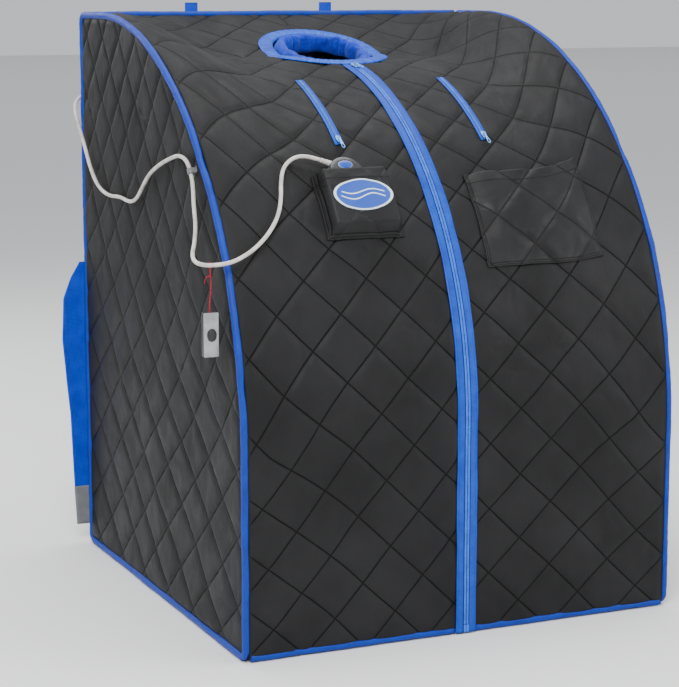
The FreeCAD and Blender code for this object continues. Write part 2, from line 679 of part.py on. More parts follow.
# Control cord: from the handset's strain relief, over the front piping where the pendant
# is tied, through the clip on the left side and round the back edge into its gland.
CORD_ROUTE = [
    (-220.0, -249.3, 809.0), (-245.0, -248.0, 806.0), (-267.0, -259.0, 791.0),
    (-279.0, -278.0, 768.0), (-287.0, -299.0, 744.0), (-300.0, -319.0, 719.0),
    (-323.0, -336.0, 693.0), (-353.0, -350.0, 671.0), (-382.0, -361.0, 658.0),
    (-404.0, -367.0, 652.0), (-426.0, -363.0, 649.0), (-443.0, -347.0, 648.0),
    (-449.0, -323.0, 651.0), (-441.0, -293.0, 660.0), (-426.0, -264.0, 673.0),
    (-414.0, -238.0, 699.0), (-413.0, -226.0, 734.0),
    (-413.0, -224.0, 770.0), (-413.0, -201.0, 802.0), (-413.0, -160.0, 810.0),
    (-413.0, -112.0, 800.0), (-413.0, -55.0, 785.0), (-413.0, -3.0, 765.0),
    (-413.0, 36.0, 738.0), (-413.0, 66.0, 715.0), (-413.0, 106.0, 705.0),
    (-413.0, 160.0, 711.0), (-413.0, 228.0, 706.0), (-413.0, 292.0, 717.0),
    (-413.0, 338.0, 748.0), (-414.0, 366.0, 786.0), (-417.0, 396.0, 828.0),
    (-418.0, 419.0, 859.0), (-407.0, 431.0, 875.0), (-389.0, 439.0, 883.0),
    (-371.0, 441.0, 886.5),
]


def cord_shape(points, radius, name):
    """Round tube along straight runs joined by tangent arcs."""
    edges = []
    here = points[0]
    total = 0.0
    for before, corner, after in zip(points, points[1:], points[2:]):
        way_in = (corner - before).normalize()
        way_out = (after - corner).normalize()
        half = way_in.getAngle(way_out) / 2
        run = min((corner - before).Length, (after - corner).Length)
        reach = 0.45 * run
        bend = reach / math.tan(half)
        print("%s bend radius %.1f mm, turn %.0f deg" % (name, bend, math.degrees(2 * half)))
        start, end = corner - way_in * reach, corner + way_out * reach
        centre_way = (way_out - way_in).normalize()
        middle = corner + centre_way * (bend / math.cos(half) - bend)
        edges.append(Part.LineSegment(here, start).toShape())
        edges.append(Part.Arc(start, middle, end).toShape())
        total += (start - here).Length + bend * 2 * half
        here = end
    edges.append(Part.LineSegment(here, points[-1]).toShape())
    total += (points[-1] - here).Length
    wire = Part.Wire(edges)
    direction = (points[1] - points[0]).normalize()
    ring = Part.Wire([Part.Circle(points[0], direction, radius).toShape()])
    tube = wire.makePipeShell([ring], True, False)
    expected = math.pi * radius ** 2 * total
    print("%s length %.0f mm, volume ratio %.4f" % (name, total, tube.Volume / expected))
    if abs(tube.Volume / expected - 1) > 0.01:
        raise RuntimeError(name + " tube has the wrong volume")
    return tube


def control_cord(start):
    gland = V(num("{box_x0} - {gland_long}"), num(HALF_D + " + {box_base_deep} + "
              "{box_lid_deep} / 2"), num("{gland_z}"))
    points = [start] + [V(*point) for point in CORD_ROUTE] + [gland]
    piece = doc.addObject("Part::Feature", "control_cord")
    piece.Shape = cord_shape(points, num("{cord_radius}"), "control_cord")
    piece.Label = "control_cord"
    piece.Placement = FreeCAD.Placement()
    pieces.append(piece)


def cord_clip():
    """Saddle on the left side that holds the cord close to the front piping."""
    body = new_body("cord_clip")
    foot = "-(" + PIPE_X + " + {panel_thick} / 2)"
    cord_x = "-{clip_cord_x}"
    hold = "({cord_radius} + {clip_slack})"
    outer = "({cord_radius} + {clip_slack} + {clip_wall})"
    flange = "(" + outer + " + {clip_flange})"
    loop = [
        (foot, "-" + flange), (foot, flange), (foot + " - {clip_wall}", flange),
        (foot + " - {clip_wall}", outer), (cord_x, outer), (cord_x, "~-" + outer),
        (foot + " - {clip_wall}", "-" + outer), (foot + " - {clip_wall}", "-" + flange),
    ]
    sketch = draw(body, "clip_section", "XZ_Plane", [loop], {(0, 4): (cord_x, "0")},
                  [(cord_x, "0", hold)], y="{clip_z}", z="-{clip_y}", tilt="{clip_tilt}")
    pad(body, sketch, "{clip_long}", symmetric=True)


def power_box():
    """Two-shell box on the back panel: the control cord's gland and the mains inlet."""
    x0, x1, z0, z1 = "{box_x0}", "{box_x1}", "{box_z0}", "{box_z1}"
    seam = HALF_D + " + {box_base_deep}"
    outer = HALF_D + " + {box_base_deep} + {box_lid_deep}"
    base = new_body("power_box_base")
    pad(base, draw(base, "box_base", "XZ_Plane", [box_loop(x0, x1, z0, z1)],
                   z="-(" + HALF_D + ")"), "{box_base_deep}", backward=True)
    inner = box_loop(x0 + " + {box_wall}", x1 + " - {box_wall}", z0 + " + {box_wall}",
                     z1 + " - {box_wall}")
    pocket(base, draw(base, "base_hollow", "XZ_Plane", [inner], z="-(" + seam + ")"),
           "2 * ({box_base_deep} - {box_wall})")
    lid = new_body("power_box_lid")
    pad(lid, draw(lid, "box_lid", "XZ_Plane", [box_loop(x0, x1, z0, z1)],
                  z="-(" + seam + ")"), "{box_lid_deep}", backward=True)
    pocket(lid, draw(lid, "lid_hollow", "XZ_Plane", [inner], z="-(" + seam + ")"),
           "2 * ({box_lid_deep} - {box_wall})")
    mid_y = seam + " + {box_lid_deep} / 2"
    bore = draw(lid, "gland_bore", "YZ_Plane",
                circles=[(mid_y, "{gland_z}", "{gland_radius} - 2.5")], z=x0)
    pocket(lid, bore, "4 * {box_wall}")
    half_w, half_d = "{inlet_wide} / 2", "{inlet_deep} / 2 - 1"
    mid_x = "(" + x0 + " + " + x1 + ") / 2"
    port = draw(lid, "inlet_port", "XY_Plane", [box_loop(
        mid_x + " - " + half_w, mid_x + " + " + half_w,
        mid_y + " - " + half_d, mid_y + " + " + half_d)], z=z0)
    pocket(lid, port, "4 * {box_wall}")
    spots = [(x + side_x, z + side_z) for x, side_x in ((x0, " + {screw_inset}"),
             (x1, " - {screw_inset}")) for z, side_z in ((z0, " + {screw_inset}"),
             (z1, " - {screw_inset}"))]
    holes = [(sx, sz, "{screw_radius} + 0.1") for sx, sz in spots]
    pocket(lid, draw(lid, "screw_holes", "XZ_Plane", circles=holes,
                     z="-(" + outer + ")"), "4 * {box_wall}")
    gland = new_body("cord_gland")
    rings = [(mid_y, "{gland_z}", "{gland_radius}"),
             (mid_y, "{gland_z}", "{cord_radius} + {gland_slack}")]
    pad(gland, draw(gland, "gland_nut", "YZ_Plane", circles=rings, z=x0),
        "{gland_long}", backward=True)
    rings = [(mid_y, "{gland_z}", "{gland_radius} - 2.5"),
             (mid_y, "{gland_z}", "{cord_radius} + {gland_slack}")]
    pad(gland, draw(gland, "gland_stem", "YZ_Plane", circles=rings, z=x0), "{box_wall} + 3")
    inlet = new_body("mains_inlet")
    pad(inlet, draw(inlet, "inlet_body", "XY_Plane", [box_loop(
        mid_x + " - " + half_w, mid_x + " + " + half_w,
        mid_y + " - " + half_d, mid_y + " + " + half_d)], z=z0),
        "{inlet_long}")
    socket = box_loop(mid_x + " - " + half_w + " + 2.5", mid_x + " + " + half_w + " - 2.5",
                      mid_y + " - " + half_d + " + 2.5", mid_y + " + " + half_d + " - 2.5")
    pocket(inlet, draw(inlet, "inlet_socket", "XY_Plane", [socket], z=z0),
           "2 * ({inlet_long} - 4)")
    screws = doc.addObject("Part::Compound", "power_box_screws")
    screws.Label = "power_box_screws"
    pieces.append(screws)
    made = []
    for n, (sx, sz) in enumerate(spots):
        screw = doc.addObject("PartDesign::Body", "box_screw_%d" % n)
        stem = [(sx, sz, "{screw_radius}")]
        pad(screw, draw(screw, "screw_stem_%d" % n, "XZ_Plane", circles=stem,
                        z="-(" + outer + ")"), "{box_wall} + 6")
        head = [(sx, sz, "{screw_head}")]
        pad(screw, draw(screw, "screw_head_%d" % n, "XZ_Plane", circles=head,
                        z="-(" + outer + ")"), "{screw_head} * 0.45", backward=True)
        made.append(screw)
    screws.Links = made


def strap():
    """Carrying strap that hangs from the back left corner, narrowed where it is sewn."""
    body = new_body("carry_strap")
    low, top, wide = "{strap_low}", "{strap_top}", "{strap_wide}"
    edge = "(" + HALF_W + ")"
    loop = [
        ("-%s + 3.5" % edge, low), ("-%s - 21.5" % edge, low),
        ("-%s - 31" % edge, "{strap_top} - 300"), ("-%s - 44" % edge, "{strap_top} - 150"),
        ("-%s - 40" % edge, "{strap_top} - 70"), ("-%s - 6" % edge, top),
        ("-%s + 10" % edge, top), ("-%s + 10" % edge, "{strap_top} - 70"),
        ("-%s + 6" % edge, "{strap_top} - 150"), ("-%s - 31 + %s" % (edge, wide),
                                                 "{strap_top} - 300"),
        ("-%s - 21.5 + %s" % (edge, wide), low),
    ]
    loop.pop(0)
    sketch = draw(body, "strap_outline", "XZ_Plane", [loop],
                  z="-(" + HALF_D + " + {strap_off})")
    pad(body, sketch, "{strap_thick}", backward=True)
    patch = new_body("strap_hook_patch")
    rise = "9.5 * {patch_tall} / ({strap_top} - 300 - {strap_low})"
    left = "(-%s - 21.5 - (%s))" % (edge, rise)
    loop = [
        ("-%s - 21.5" % edge, low), (left, low + " + {patch_tall}"),
        (left + " + " + wide, low + " + {patch_tall}"),
        ("-%s - 21.5 + %s" % (edge, wide), low),
    ]
    sketch = draw(patch, "patch_outline", "XZ_Plane", [loop],
                  z="-(" + HALF_D + " + {strap_off})")
    pad(patch, sketch, "{patch_thick}")


def top_tab(side):
    body = new_body(side + "_top_tab")
    x = "{%s_tab_x}" % side
    loop = box_loop(x + " - {tab_half}", x + " + {tab_half}", "{height} - {tab_down}",
                    "{height} + {tab_up}")
    sketch = draw(body, side + "_tab_outline", "XZ_Plane", [loop],
                  z="-(" + HALF_D + " + {panel_gap})")
    pad(body, sketch, "{tab_thick}", backward=True)


def pendant():
    """Small push switch that hangs on a string where the cord crosses the piping."""
    x, y = "{pendant_x}", "{pendant_y}"
    wide = "{pendant_wide} / 2"
    string = new_body("pendant_string")
    sketch = draw(string, "string_section", "XY_Plane", circles=[(x, y, "{string_radius}")],
                  z="{pendant_top}")
    pad(string, sketch, "{string_top} - {pendant_top}")
    split = "-(%s)" % y
    case = box_loop(x + " - " + wide, x + " + " + wide, "{pendant_low}", "{pendant_top}")
    back = new_body("pendant_back_shell")
    pad(back, draw(back, "pendant_back_outline", "XZ_Plane", [case], z=split),
        "{pendant_back}", backward=True)
    hollow = box_loop(x + " - " + wide + " + 2", x + " + " + wide + " - 2",
                      "{pendant_low} + 2", "{pendant_top} - 2")
    pocket(back, draw(back, "pendant_hollow", "XZ_Plane", [hollow], z=split),
           "2 * ({pendant_back} - 2)")
    front = new_body("pendant_front_shell")
    pad(front, draw(front, "pendant_front_outline", "XZ_Plane", [case], z=split),
        "{pendant_front}")
    key_z = "({pendant_low} + {pendant_top}) / 2"
    pocket(front, draw(front, "pendant_key_hole", "XZ_Plane",
                       circles=[(x, key_z, "{pendant_key} + 0.3")], z=split),
           "3 * {pendant_front}")
    key = new_body("pendant_key")
    pad(key, draw(key, "pendant_key_disc", "XZ_Plane", circles=[(x, key_z, "{pendant_key}")],
                  z=split + " + 1"), "{pendant_front} - 1 + {pendant_key_proud}")


cover = front_cover()
for hand, minus in (("left", "-"), ("right", "")):
    side_panel(hand + "_side_panel", minus)
    hoop(hand + "_side_piping", minus, "{pipe_radius}", "{pipe_bore}")
    hoop(hand + "_hoop_rod", minus, "{hoop_radius}")
back_panel()
RAIL_Y = HALF_D + " - {pipe_radius}"
RAIL_Z = "{height} - {pipe_radius}"
along_x("back_top_piping", RAIL_Y, RAIL_Z, ("{pipe_radius}", "{pipe_bore}"), INNER_X)
along_x("back_top_rail", RAIL_Y, RAIL_Z, ("{rail_radius}",), INNER_X + " - {rail_inset}")
back_hem()
INSIDE = "(" + PIPE_X + " - {panel_thick} / 2 - {heater_gap})"
for hand, minus, other in (("left", "-", " + "), ("right", "", " - ")):
    near = minus + INSIDE
    heater(hand + "_heater", near, near + other + "{heater_thick}", "{side_heater_y0}",
           "{side_heater_y1}")
BACK_IN = HALF_D + " - {panel_thick} - {heater_gap}"
heater("back_heater", "-{back_heater_half}", "{back_heater_half}",
       BACK_IN + " - {heater_thick}", BACK_IN)
collar_ring()
neck_collar()
main_zip()
for hand, minus in (("left", "-"), ("right", "")):
    arm_zip(hand, minus)
    front_pocket(hand)
    flap(hand, minus)
    slider(hand + "_arm_slider", minus + "{arm_zip_x}", "{arm_slider_half}",
           "{arm_coil_proud}", "{arm_slider_at}", "{arm_slider_angle}")
    zip_pull(hand + "_arm_pull", minus + "{arm_zip_x}", "{arm_pull_half}",
             "{arm_coil_proud}", "{arm_slider_at}", "{arm_pull_long}")
    top_tab(hand)
slider("main_zip_slider", "0", "{slider_half}", "{coil_proud}", "{main_slider_at}",
       "{slider_angle}")
zip_pull("main_zip_pull", "0", "{pull_half}", "{coil_proud}", "{main_slider_at}",
         "{pull_long}")
badge()
handset()
doc.recompute()
control_cord(strain_relief())
cord_clip()
power_box()
strap()
pendant()
doc.recompute()

broken = [item.Name for item in doc.Objects if {"Invalid", "Error"} & set(item.State)]
if broken:
    raise RuntimeError("failed objects: " + ", ".join(broken))
os.makedirs("parts", exist_ok=True)
for piece in pieces:
    shape = piece.Shape
    if shape.isNull() or not shape.isValid():
        raise RuntimeError(piece.Label + " has no valid shape")
    shape.exportStep("parts/" + piece.Label + ".step")
    print("%-24s %3d solid(s) %10.0f mm3" % (piece.Label, len(shape.Solids), shape.Volume))
print(len(pieces), "pieces")
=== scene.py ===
"""Portable sauna tent: its looks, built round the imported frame. Metres, floor at z 0."""
import functools
import math

import bmesh
import bpy
import numpy as np
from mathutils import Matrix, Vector


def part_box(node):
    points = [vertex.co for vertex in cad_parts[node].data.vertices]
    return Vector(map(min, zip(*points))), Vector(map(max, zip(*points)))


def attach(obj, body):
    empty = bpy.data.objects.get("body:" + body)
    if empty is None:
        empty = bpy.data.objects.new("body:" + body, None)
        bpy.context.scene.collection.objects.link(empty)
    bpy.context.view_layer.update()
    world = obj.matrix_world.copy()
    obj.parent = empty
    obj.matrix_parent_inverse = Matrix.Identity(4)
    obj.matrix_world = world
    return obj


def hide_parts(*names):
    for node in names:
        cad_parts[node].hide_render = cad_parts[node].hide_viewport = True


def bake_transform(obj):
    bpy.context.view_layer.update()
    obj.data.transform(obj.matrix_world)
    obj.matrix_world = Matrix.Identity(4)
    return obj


MM = 0.001
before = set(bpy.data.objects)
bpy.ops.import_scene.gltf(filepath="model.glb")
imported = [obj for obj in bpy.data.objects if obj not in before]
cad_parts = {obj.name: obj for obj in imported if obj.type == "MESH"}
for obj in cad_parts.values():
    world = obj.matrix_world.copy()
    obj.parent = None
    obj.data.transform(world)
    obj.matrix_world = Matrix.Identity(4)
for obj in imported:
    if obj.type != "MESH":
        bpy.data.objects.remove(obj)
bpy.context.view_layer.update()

# ---------------------------------------------------------------- sizes, from the frame
HALF_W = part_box("right_side_piping")[1].x
HALF_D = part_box("right_side_piping")[1].y
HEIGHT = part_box("right_side_piping")[1].z
PIPE_R = 6.5 * MM
PIPE_X = HALF_W - PIPE_R
INNER_X = HALF_W - 2 * PIPE_R
SAG_HALF = 200 * MM          # half width of the evenly curved middle
SAG_RISE, SAG_R = 369 * MM, 589 * MM
EDGE_R = 708 * MM
EDGE_RISE = HEIGHT - EDGE_R
BACK_Y, BACK_Z = HALF_D - 9 * MM, HEIGHT - 5 * MM
HEM_TALL, HEM_R, HEM_INSET = 13 * MM, 6 * MM, 5.2 * MM
TAPE_HALF = 19 * MM
DOOR_TOP = 365 * MM
NECK_Y = 184 * MM
NECK_STRAIGHT = 11 * MM      # half of the oval's straight stretch
HANDSET_ANGLE, HANDSET_X = math.radians(40), -160 * MM
SAG_Y = SAG_R - HALF_D
LENGTHS = [SAG_RISE, SAG_R * math.pi / 2,
           math.hypot(BACK_Y - SAG_Y, BACK_Z - SAG_RISE - SAG_R)]
TOTAL = sum(LENGTHS)


def ease(t):
    """Smooth step from 0 to 1."""
    t = np.clip(t, 0, 1)
    return t * t * (3 - 2 * t)


def stack(*parts):
    """Rows of points or indices from separate coordinates, which may be plain numbers."""
    return np.stack(np.broadcast_arrays(*parts), -1)


def grid(a, b):
    """Both coordinates over a grid, with a along the first axis."""
    return np.meshgrid(a, b, indexing="ij")


def circle(count):
    """Even angles once round."""
    return np.linspace(0, 2 * math.pi, count, endpoint=False)


def drift(u, v, cell, seed):
    """Smooth noise from -1 to 1 over a plane, with one free value a cell."""
    table = np.random.default_rng(seed).uniform(-1, 1, (97, 89))
    gu, gv = np.asarray(u) / cell, np.asarray(v) / cell
    iu, iv = np.floor(gu).astype(int), np.floor(gv).astype(int)
    fu, fv = ease(gu - iu), ease(gv - iv)
    low = table[iu % 97, iv % 89] * (1 - fu) + table[(iu + 1) % 97, iv % 89] * fu
    high = table[iu % 97, (iv + 1) % 89] * (1 - fu) + table[(iu + 1) % 97, (iv + 1) % 89] * fu
    return low * (1 - fv) + high * fv


# ---------------------------------------------------------------- the front and top cloth
def profile(q, rise, radius):
    """Side view of the cover: upright, quarter arc, then straight to the back edge."""
    turn = np.clip(q - 1, 0, 1) * math.pi / 2
    y = -HALF_D + radius * (1 - np.cos(turn))
    z = rise * np.clip(q, 0, 1) + radius * np.sin(turn)
    run = np.clip(q - 2, 0, 1)
    return y + run * (BACK_Y - radius + HALF_D), z + run * (BACK_Z - rise - radius)


def surface(x, s):
    """Point of the cover: x across, s up the middle from the floor."""
    q = np.interp(s, np.cumsum([0] + LENGTHS), [0, 1, 2, 3])
    w = ease((np.abs(x) - SAG_HALF) / (INNER_X - SAG_HALF))
    yc, zc = profile(q, SAG_RISE, SAG_R)
    ye, ze = profile(q, EDGE_RISE, EDGE_R)
    return stack(x, yc * (1 - w) + ye * w, zc * (1 - w) + ze * w)


def outward(x, s):
    """The cover's normal."""
    e = 1 * MM
    n = np.cross(surface(x + e, s) - surface(x - e, s), surface(x, s + e) - surface(x, s - e))
    return n / np.linalg.norm(n, axis=-1, keepdims=True)


def skin(x, s, lift):
    """Point at a height over the plain cover."""
    x, s = np.broadcast_arrays(np.asarray(x, float), np.asarray(s, float))
    lift = np.broadcast_to(np.asarray(lift, float), x.shape)
    return surface(x, s) + outward(x, s) * lift[..., None]


def up_the_middle(y):
    """Distance s up the cover's middle for a place y in plan, from the arc onwards."""
    y = np.asarray(y, float)
    turn = np.arccos(np.clip((SAG_Y - y) / SAG_R, -1, 1))
    flat = LENGTHS[0] + LENGTHS[1] + (y - SAG_Y) / (BACK_Y - SAG_Y) * LENGTHS[2]
    return np.where(y < SAG_Y, SAG_RISE + SAG_R * turn, flat)


def at_angle(degrees):
    """Distance s up the middle for an angle on the arc."""
    return SAG_RISE + SAG_R * math.radians(degrees)


# ---------------------------------------------------------------- mesh helpers
def add(name, data):
    """A new object in the scene."""
    obj = bpy.data.objects.new(name, data)
    bpy.context.scene.collection.objects.link(obj)
    return obj


def solid(name, work, mat):
    """A smooth-shaded object from an edited mesh, which is used up."""
    mesh = bpy.data.meshes.new(name)
    work.to_mesh(mesh)
    work.free()
    mesh.materials.append(mat)
    mesh.shade_smooth()
    return add(name, mesh)


def build(name, verts, faces, mats, mat_index=None, attrs=None):
    """A mesh object; unused points are dropped and the faces made to look outwards."""
    verts = np.asarray(verts, float).reshape(-1, 3)
    used = np.unique(np.concatenate([np.ravel(f) for f in faces]))
    remap = np.full(len(verts), -1)
    remap[used] = np.arange(len(used))
    mesh = bpy.data.meshes.new(name)
    mesh.from_pydata(verts[used].tolist(), [], [remap[f].tolist() for f in faces])
    for mat in mats if isinstance(mats, list) else [mats]:
        mesh.materials.append(mat)
    if mat_index is not None:
        mesh.polygons.foreach_set("material_index", np.asarray(mat_index, np.int32))
    for key, values in (attrs or {}).items():
        layer = mesh.attributes.new(key, "FLOAT_VECTOR", "POINT")
        layer.data.foreach_set("vector", np.asarray(values, np.float32).reshape(-1, 3)[used]
                               .ravel())
    work = bmesh.new()
    work.from_mesh(mesh)
    bmesh.ops.recalc_face_normals(work, faces=work.faces)
    work.to_mesh(mesh)
    work.free()
    mesh.shade_smooth()
    mesh.update()
    return add(name, mesh)


def shell(name, outer, inner, mats, keep=None, attrs=None):
    """A closed sheet between two grids of points; keep marks the cells that exist."""
    m, n = outer.shape[:2]
    keep = np.ones((m - 1, n - 1), bool) if keep is None else keep
    index = np.arange(m * n).reshape(m, n)
    a, b, c, d = index[:-1, :-1], index[1:, :-1], index[1:, 1:], index[:-1, 1:]
    front = stack(a, b, c, d)[keep]
    back = front[:, ::-1] + m * n
    padded = np.pad(keep, 1)
    rims = []
    for p, q, di, dj in ((d, a, -1, 0), (b, c, 1, 0), (a, b, 0, -1), (c, d, 0, 1)):
        beside = padded[1 + di:m + di, 1 + dj:n + dj]
        edge = keep & ~beside
        rims.append(stack(q[edge], p[edge], p[edge] + m * n, q[edge] + m * n))
    rims = np.concatenate(rims)
    faces = np.concatenate([front, back, rims])
    kind = np.concatenate([np.zeros(len(front)), np.ones(len(back)), np.zeros(len(rims))])
    both = {k: np.concatenate([np.reshape(v, (-1, 3))] * 2) for k, v in (attrs or {}).items()}
    verts = np.concatenate([outer.reshape(-1, 3), inner.reshape(-1, 3)])
    return build(name, verts, faces, mats, kind if isinstance(mats, list) else None, both)


def loft(name, rings, mat, closed=False, attrs=None):
    """A skin through rings of points; closed joins the last ring to the first."""
    rings = np.asarray(rings, float)
    m, n = rings.shape[:2]
    rows = m if closed else m - 1
    i = np.arange(rows)[:, None]
    j = np.arange(n)[None, :]
    nxt, side = (i + 1) % m, (j + 1) % n
    quads = stack(i * n + j, i * n + side, nxt * n + side, nxt * n + j).reshape(-1, 4)
    faces = quads.tolist()
    if not closed:
        faces.append(list(range(n))[::-1])
        faces.append([(m - 1) * n + k for k in range(n)])
    return build(name, rings, faces, mat, attrs=attrs)


def tube_rings(path, radius, sides, closed=False, axis=None, squash=1.0):
    """Rings of points round a path. axis is a fixed direction held across the tube."""
    path = np.asarray(path, float)
    if closed:
        tangent = np.roll(path, -1, 0) - np.roll(path, 1, 0)
    else:
        tangent = np.gradient(path, axis=0)
    tangent /= np.linalg.norm(tangent, axis=1, keepdims=True)
    if axis is not None:
        first = np.broadcast_to(np.asarray(axis, float), path.shape)
        first = first - (first * tangent).sum(1, keepdims=True) * tangent
    else:
        first = np.zeros_like(path)
        ref = np.array([0.0, 0, 1]) if abs(tangent[0][2]) < 0.9 else np.array([1.0, 0, 0])
        for k, t in enumerate(tangent):
            ref = ref - (ref @ t) * t
            ref /= np.linalg.norm(ref)
            first[k] = ref
    first = first / np.linalg.norm(first, axis=1, keepdims=True)
    second = np.cross(tangent, first)
    angle = circle(sides)
    if np.ndim(radius) < 2:
        radius = np.reshape(radius, (-1, 1))
    return (path[:, None] + first[:, None] * (np.cos(angle) * radius)[..., None]
            + second[:, None] * (np.sin(angle) * radius * squash)[..., None])


def along_path(path):
    """Distance run at each point of a path."""
    step = np.linalg.norm(np.diff(path, axis=0), axis=1)
    return np.concatenate([[0], np.cumsum(step)])


def plate(name, outline, low, high, place, mat, bevel):
    """A flat piece from an outline in a local frame, with rounded edges."""
    origin, ex, ey, ez = [np.asarray(v, float) for v in place]
    work = bmesh.new()
    foot = [work.verts.new(origin + ex * px + ey * py + ez * low) for px, py in outline]
    face = work.faces.new(foot)
    top = bmesh.ops.extrude_face_region(work, geom=[face])
    moved = [v for v in top["geom"] if isinstance(v, bmesh.types.BMVert)]
    bmesh.ops.translate(work, verts=moved, vec=Vector(ez * (high - low)))
    bmesh.ops.recalc_face_normals(work, faces=work.faces)
    sharp = [e for e in work.edges if e.calc_face_angle(0) > math.radians(35)]
    bmesh.ops.bevel(work, geom=sharp, offset=bevel, segments=3, affect="EDGES",
                    profile=0.5, clamp_overlap=True)
    return solid(name, work, mat)


def join(name, objs):
    """Several meshes as one object."""
    with bpy.context.temp_override(active_object=objs[0], object=objs[0],
                                   selected_objects=objs, selected_editable_objects=objs):
        bpy.ops.object.join()
    objs[0].name = name
    objs[0].data.name = name
    return objs[0]


def oval(rx, ry, count, square=2.0):
    """Rounded outline: an ellipse at 2, and squarer as the power grows."""
    out = []
    for k in range(count):
        a = 2 * math.pi * k / count
        c, s = math.cos(a), math.sin(a)
        out.append((rx * math.copysign(abs(c) ** (2 / square), c),
                    ry * math.copysign(abs(s) ** (2 / square), s)))
    return out


def piece(obj, body, slot, *nodes):
    """Hide the CAD nodes that an object replaces and hang it on the body it rides on; its slot is
    not used.
    """
    if nodes:
        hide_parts(*nodes)
    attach(obj, body)
    return obj


def local_frame(angle, x):
    """Frame on the cover's arc: its origin, then across, up the slope and outwards."""
    up = np.array([0, math.sin(angle), math.cos(angle)])
    out = np.array([0, -math.cos(angle), math.sin(angle)])
    origin = np.array([x, SAG_Y, SAG_RISE]) + out * SAG_R
    return origin, np.array([1.0, 0, 0]), up, out


def front_frame(x, y, z):
    """Frame on an upright front: its origin, then across, up and outwards."""
    return (x, y, z), (1, 0, 0), (0, 0, 1), (0, -1, 0)


def left_only(side, node):
    """A node that spans both halves goes with the left half's piece."""
    return [node] if side == "left" else []


# ---------------------------------------------------------------- materials
class Look:
    """A Principled material with short calls for its nodes."""

    def __init__(self, name, color, rough, **fixed):
        self.mat = bpy.data.materials.new(name)
        self.mat.use_nodes = True
        self.tree = self.mat.node_tree
        self.bsdf = self.tree.nodes["Principled BSDF"]
        self.bsdf.inputs["Base Color"].default_value = (*color, 1)
        self.bsdf.inputs["Roughness"].default_value = rough
        for key, value in fixed.items():
            self.bsdf.inputs[key.replace("_", " ").title().replace("Ior", "IOR")
                             ].default_value = value

    def node(self, kind, inputs=None, **props):
        made = self.tree.nodes.new(kind)
        for key, value in props.items():
            setattr(made, key, value)
        for key, value in (inputs or {}).items():
            if isinstance(value, bpy.types.NodeSocket):
                self.tree.links.new(value, made.inputs[key])
            else:
                made.inputs[key].default_value = value
        return made

    def math(self, how, a, b=0.0, c=0.0):
        return self.node("ShaderNodeMath", {0: a, 1: b, 2: c}, operation=how).outputs[0]

    def attribute(self, name):
        return self.node("ShaderNodeAttribute", attribute_name=name).outputs["Vector"]

    def split(self, vector):
        return self.node("ShaderNodeSeparateXYZ", {0: vector}).outputs

    def place(self):
        return self.node("ShaderNodeTexCoord").outputs["Object"]

    def stretch(self, vector, scale):
        return self.node("ShaderNodeMapping", {"Vector": vector, "Scale": scale}).outputs[0]

    def noise(self, vector, scale, detail=3.0, rough=0.5, distortion=0.0, kind="FBM"):
        made = self.node("ShaderNodeTexNoise", {"Vector": vector, "Scale": scale,
                                                "Detail": detail, "Roughness": rough,
                                                "Distortion": distortion}, noise_type=kind)
        return made.outputs[0]

    def band(self, value, low, high, to_low=0.0, to_high=1.0):
        made = self.node("ShaderNodeMapRange", {"Value": value, "From Min": low,
                                                "From Max": high, "To Min": to_low,
                                                "To Max": to_high},
                         interpolation_type="SMOOTHSTEP")
        return made.outputs[0]

    def fade(self, value, low, high):
        """1 below low and 0 above high."""
        return self.band(value, low, high, 1.0, 0.0)

    def gap(self, a, b):
        """Distance between two values."""
        return self.math("ABSOLUTE", self.math("SUBTRACT", a, b))

    def zigzag(self, value, pitch):
        """From 0 to 1 and back, one pitch each way."""
        return self.math("PINGPONG", self.math("DIVIDE", value, pitch), 1.0)

    def invert(self, mask):
        return self.math("SUBTRACT", 1.0, mask)

    def union(self, masks):
        """The largest of several masks."""
        return functools.reduce(lambda a, b: self.math("MAXIMUM", a, b), masks)

    def mix(self, factor, a, b):
        """Blend of two colours, each a socket or three numbers."""
        a, b = (c if isinstance(c, bpy.types.NodeSocket) else (*c, 1) for c in (a, b))
        return self.node("ShaderNodeMix", {0: factor, 6: a, 7: b}, data_type="RGBA").outputs[2]

    def color(self, socket):
        self.tree.links.new(socket, self.bsdf.inputs["Base Color"])

    def rough(self, socket):
        self.tree.links.new(socket, self.bsdf.inputs["Roughness"])

    def bump(self, *layers):
        """Stacked bumps: (height, strength, distance) each."""
        normal = None
        for height, strength, distance in layers:
            inputs = {"Height": height, "Strength": strength, "Distance": distance}
            if normal is not None:
                inputs["Normal"] = normal
            normal = self.node("ShaderNodeBump", inputs).outputs[0]
        self.tree.links.new(normal, self.bsdf.inputs["Normal"])


QUILT_HALF = 40.5 * MM       # from one stitched line to half way to the next
STITCH = 2.1 * MM
POCKET_HEM = 20 * MM         # depth of the folded hem at a pocket's mouth


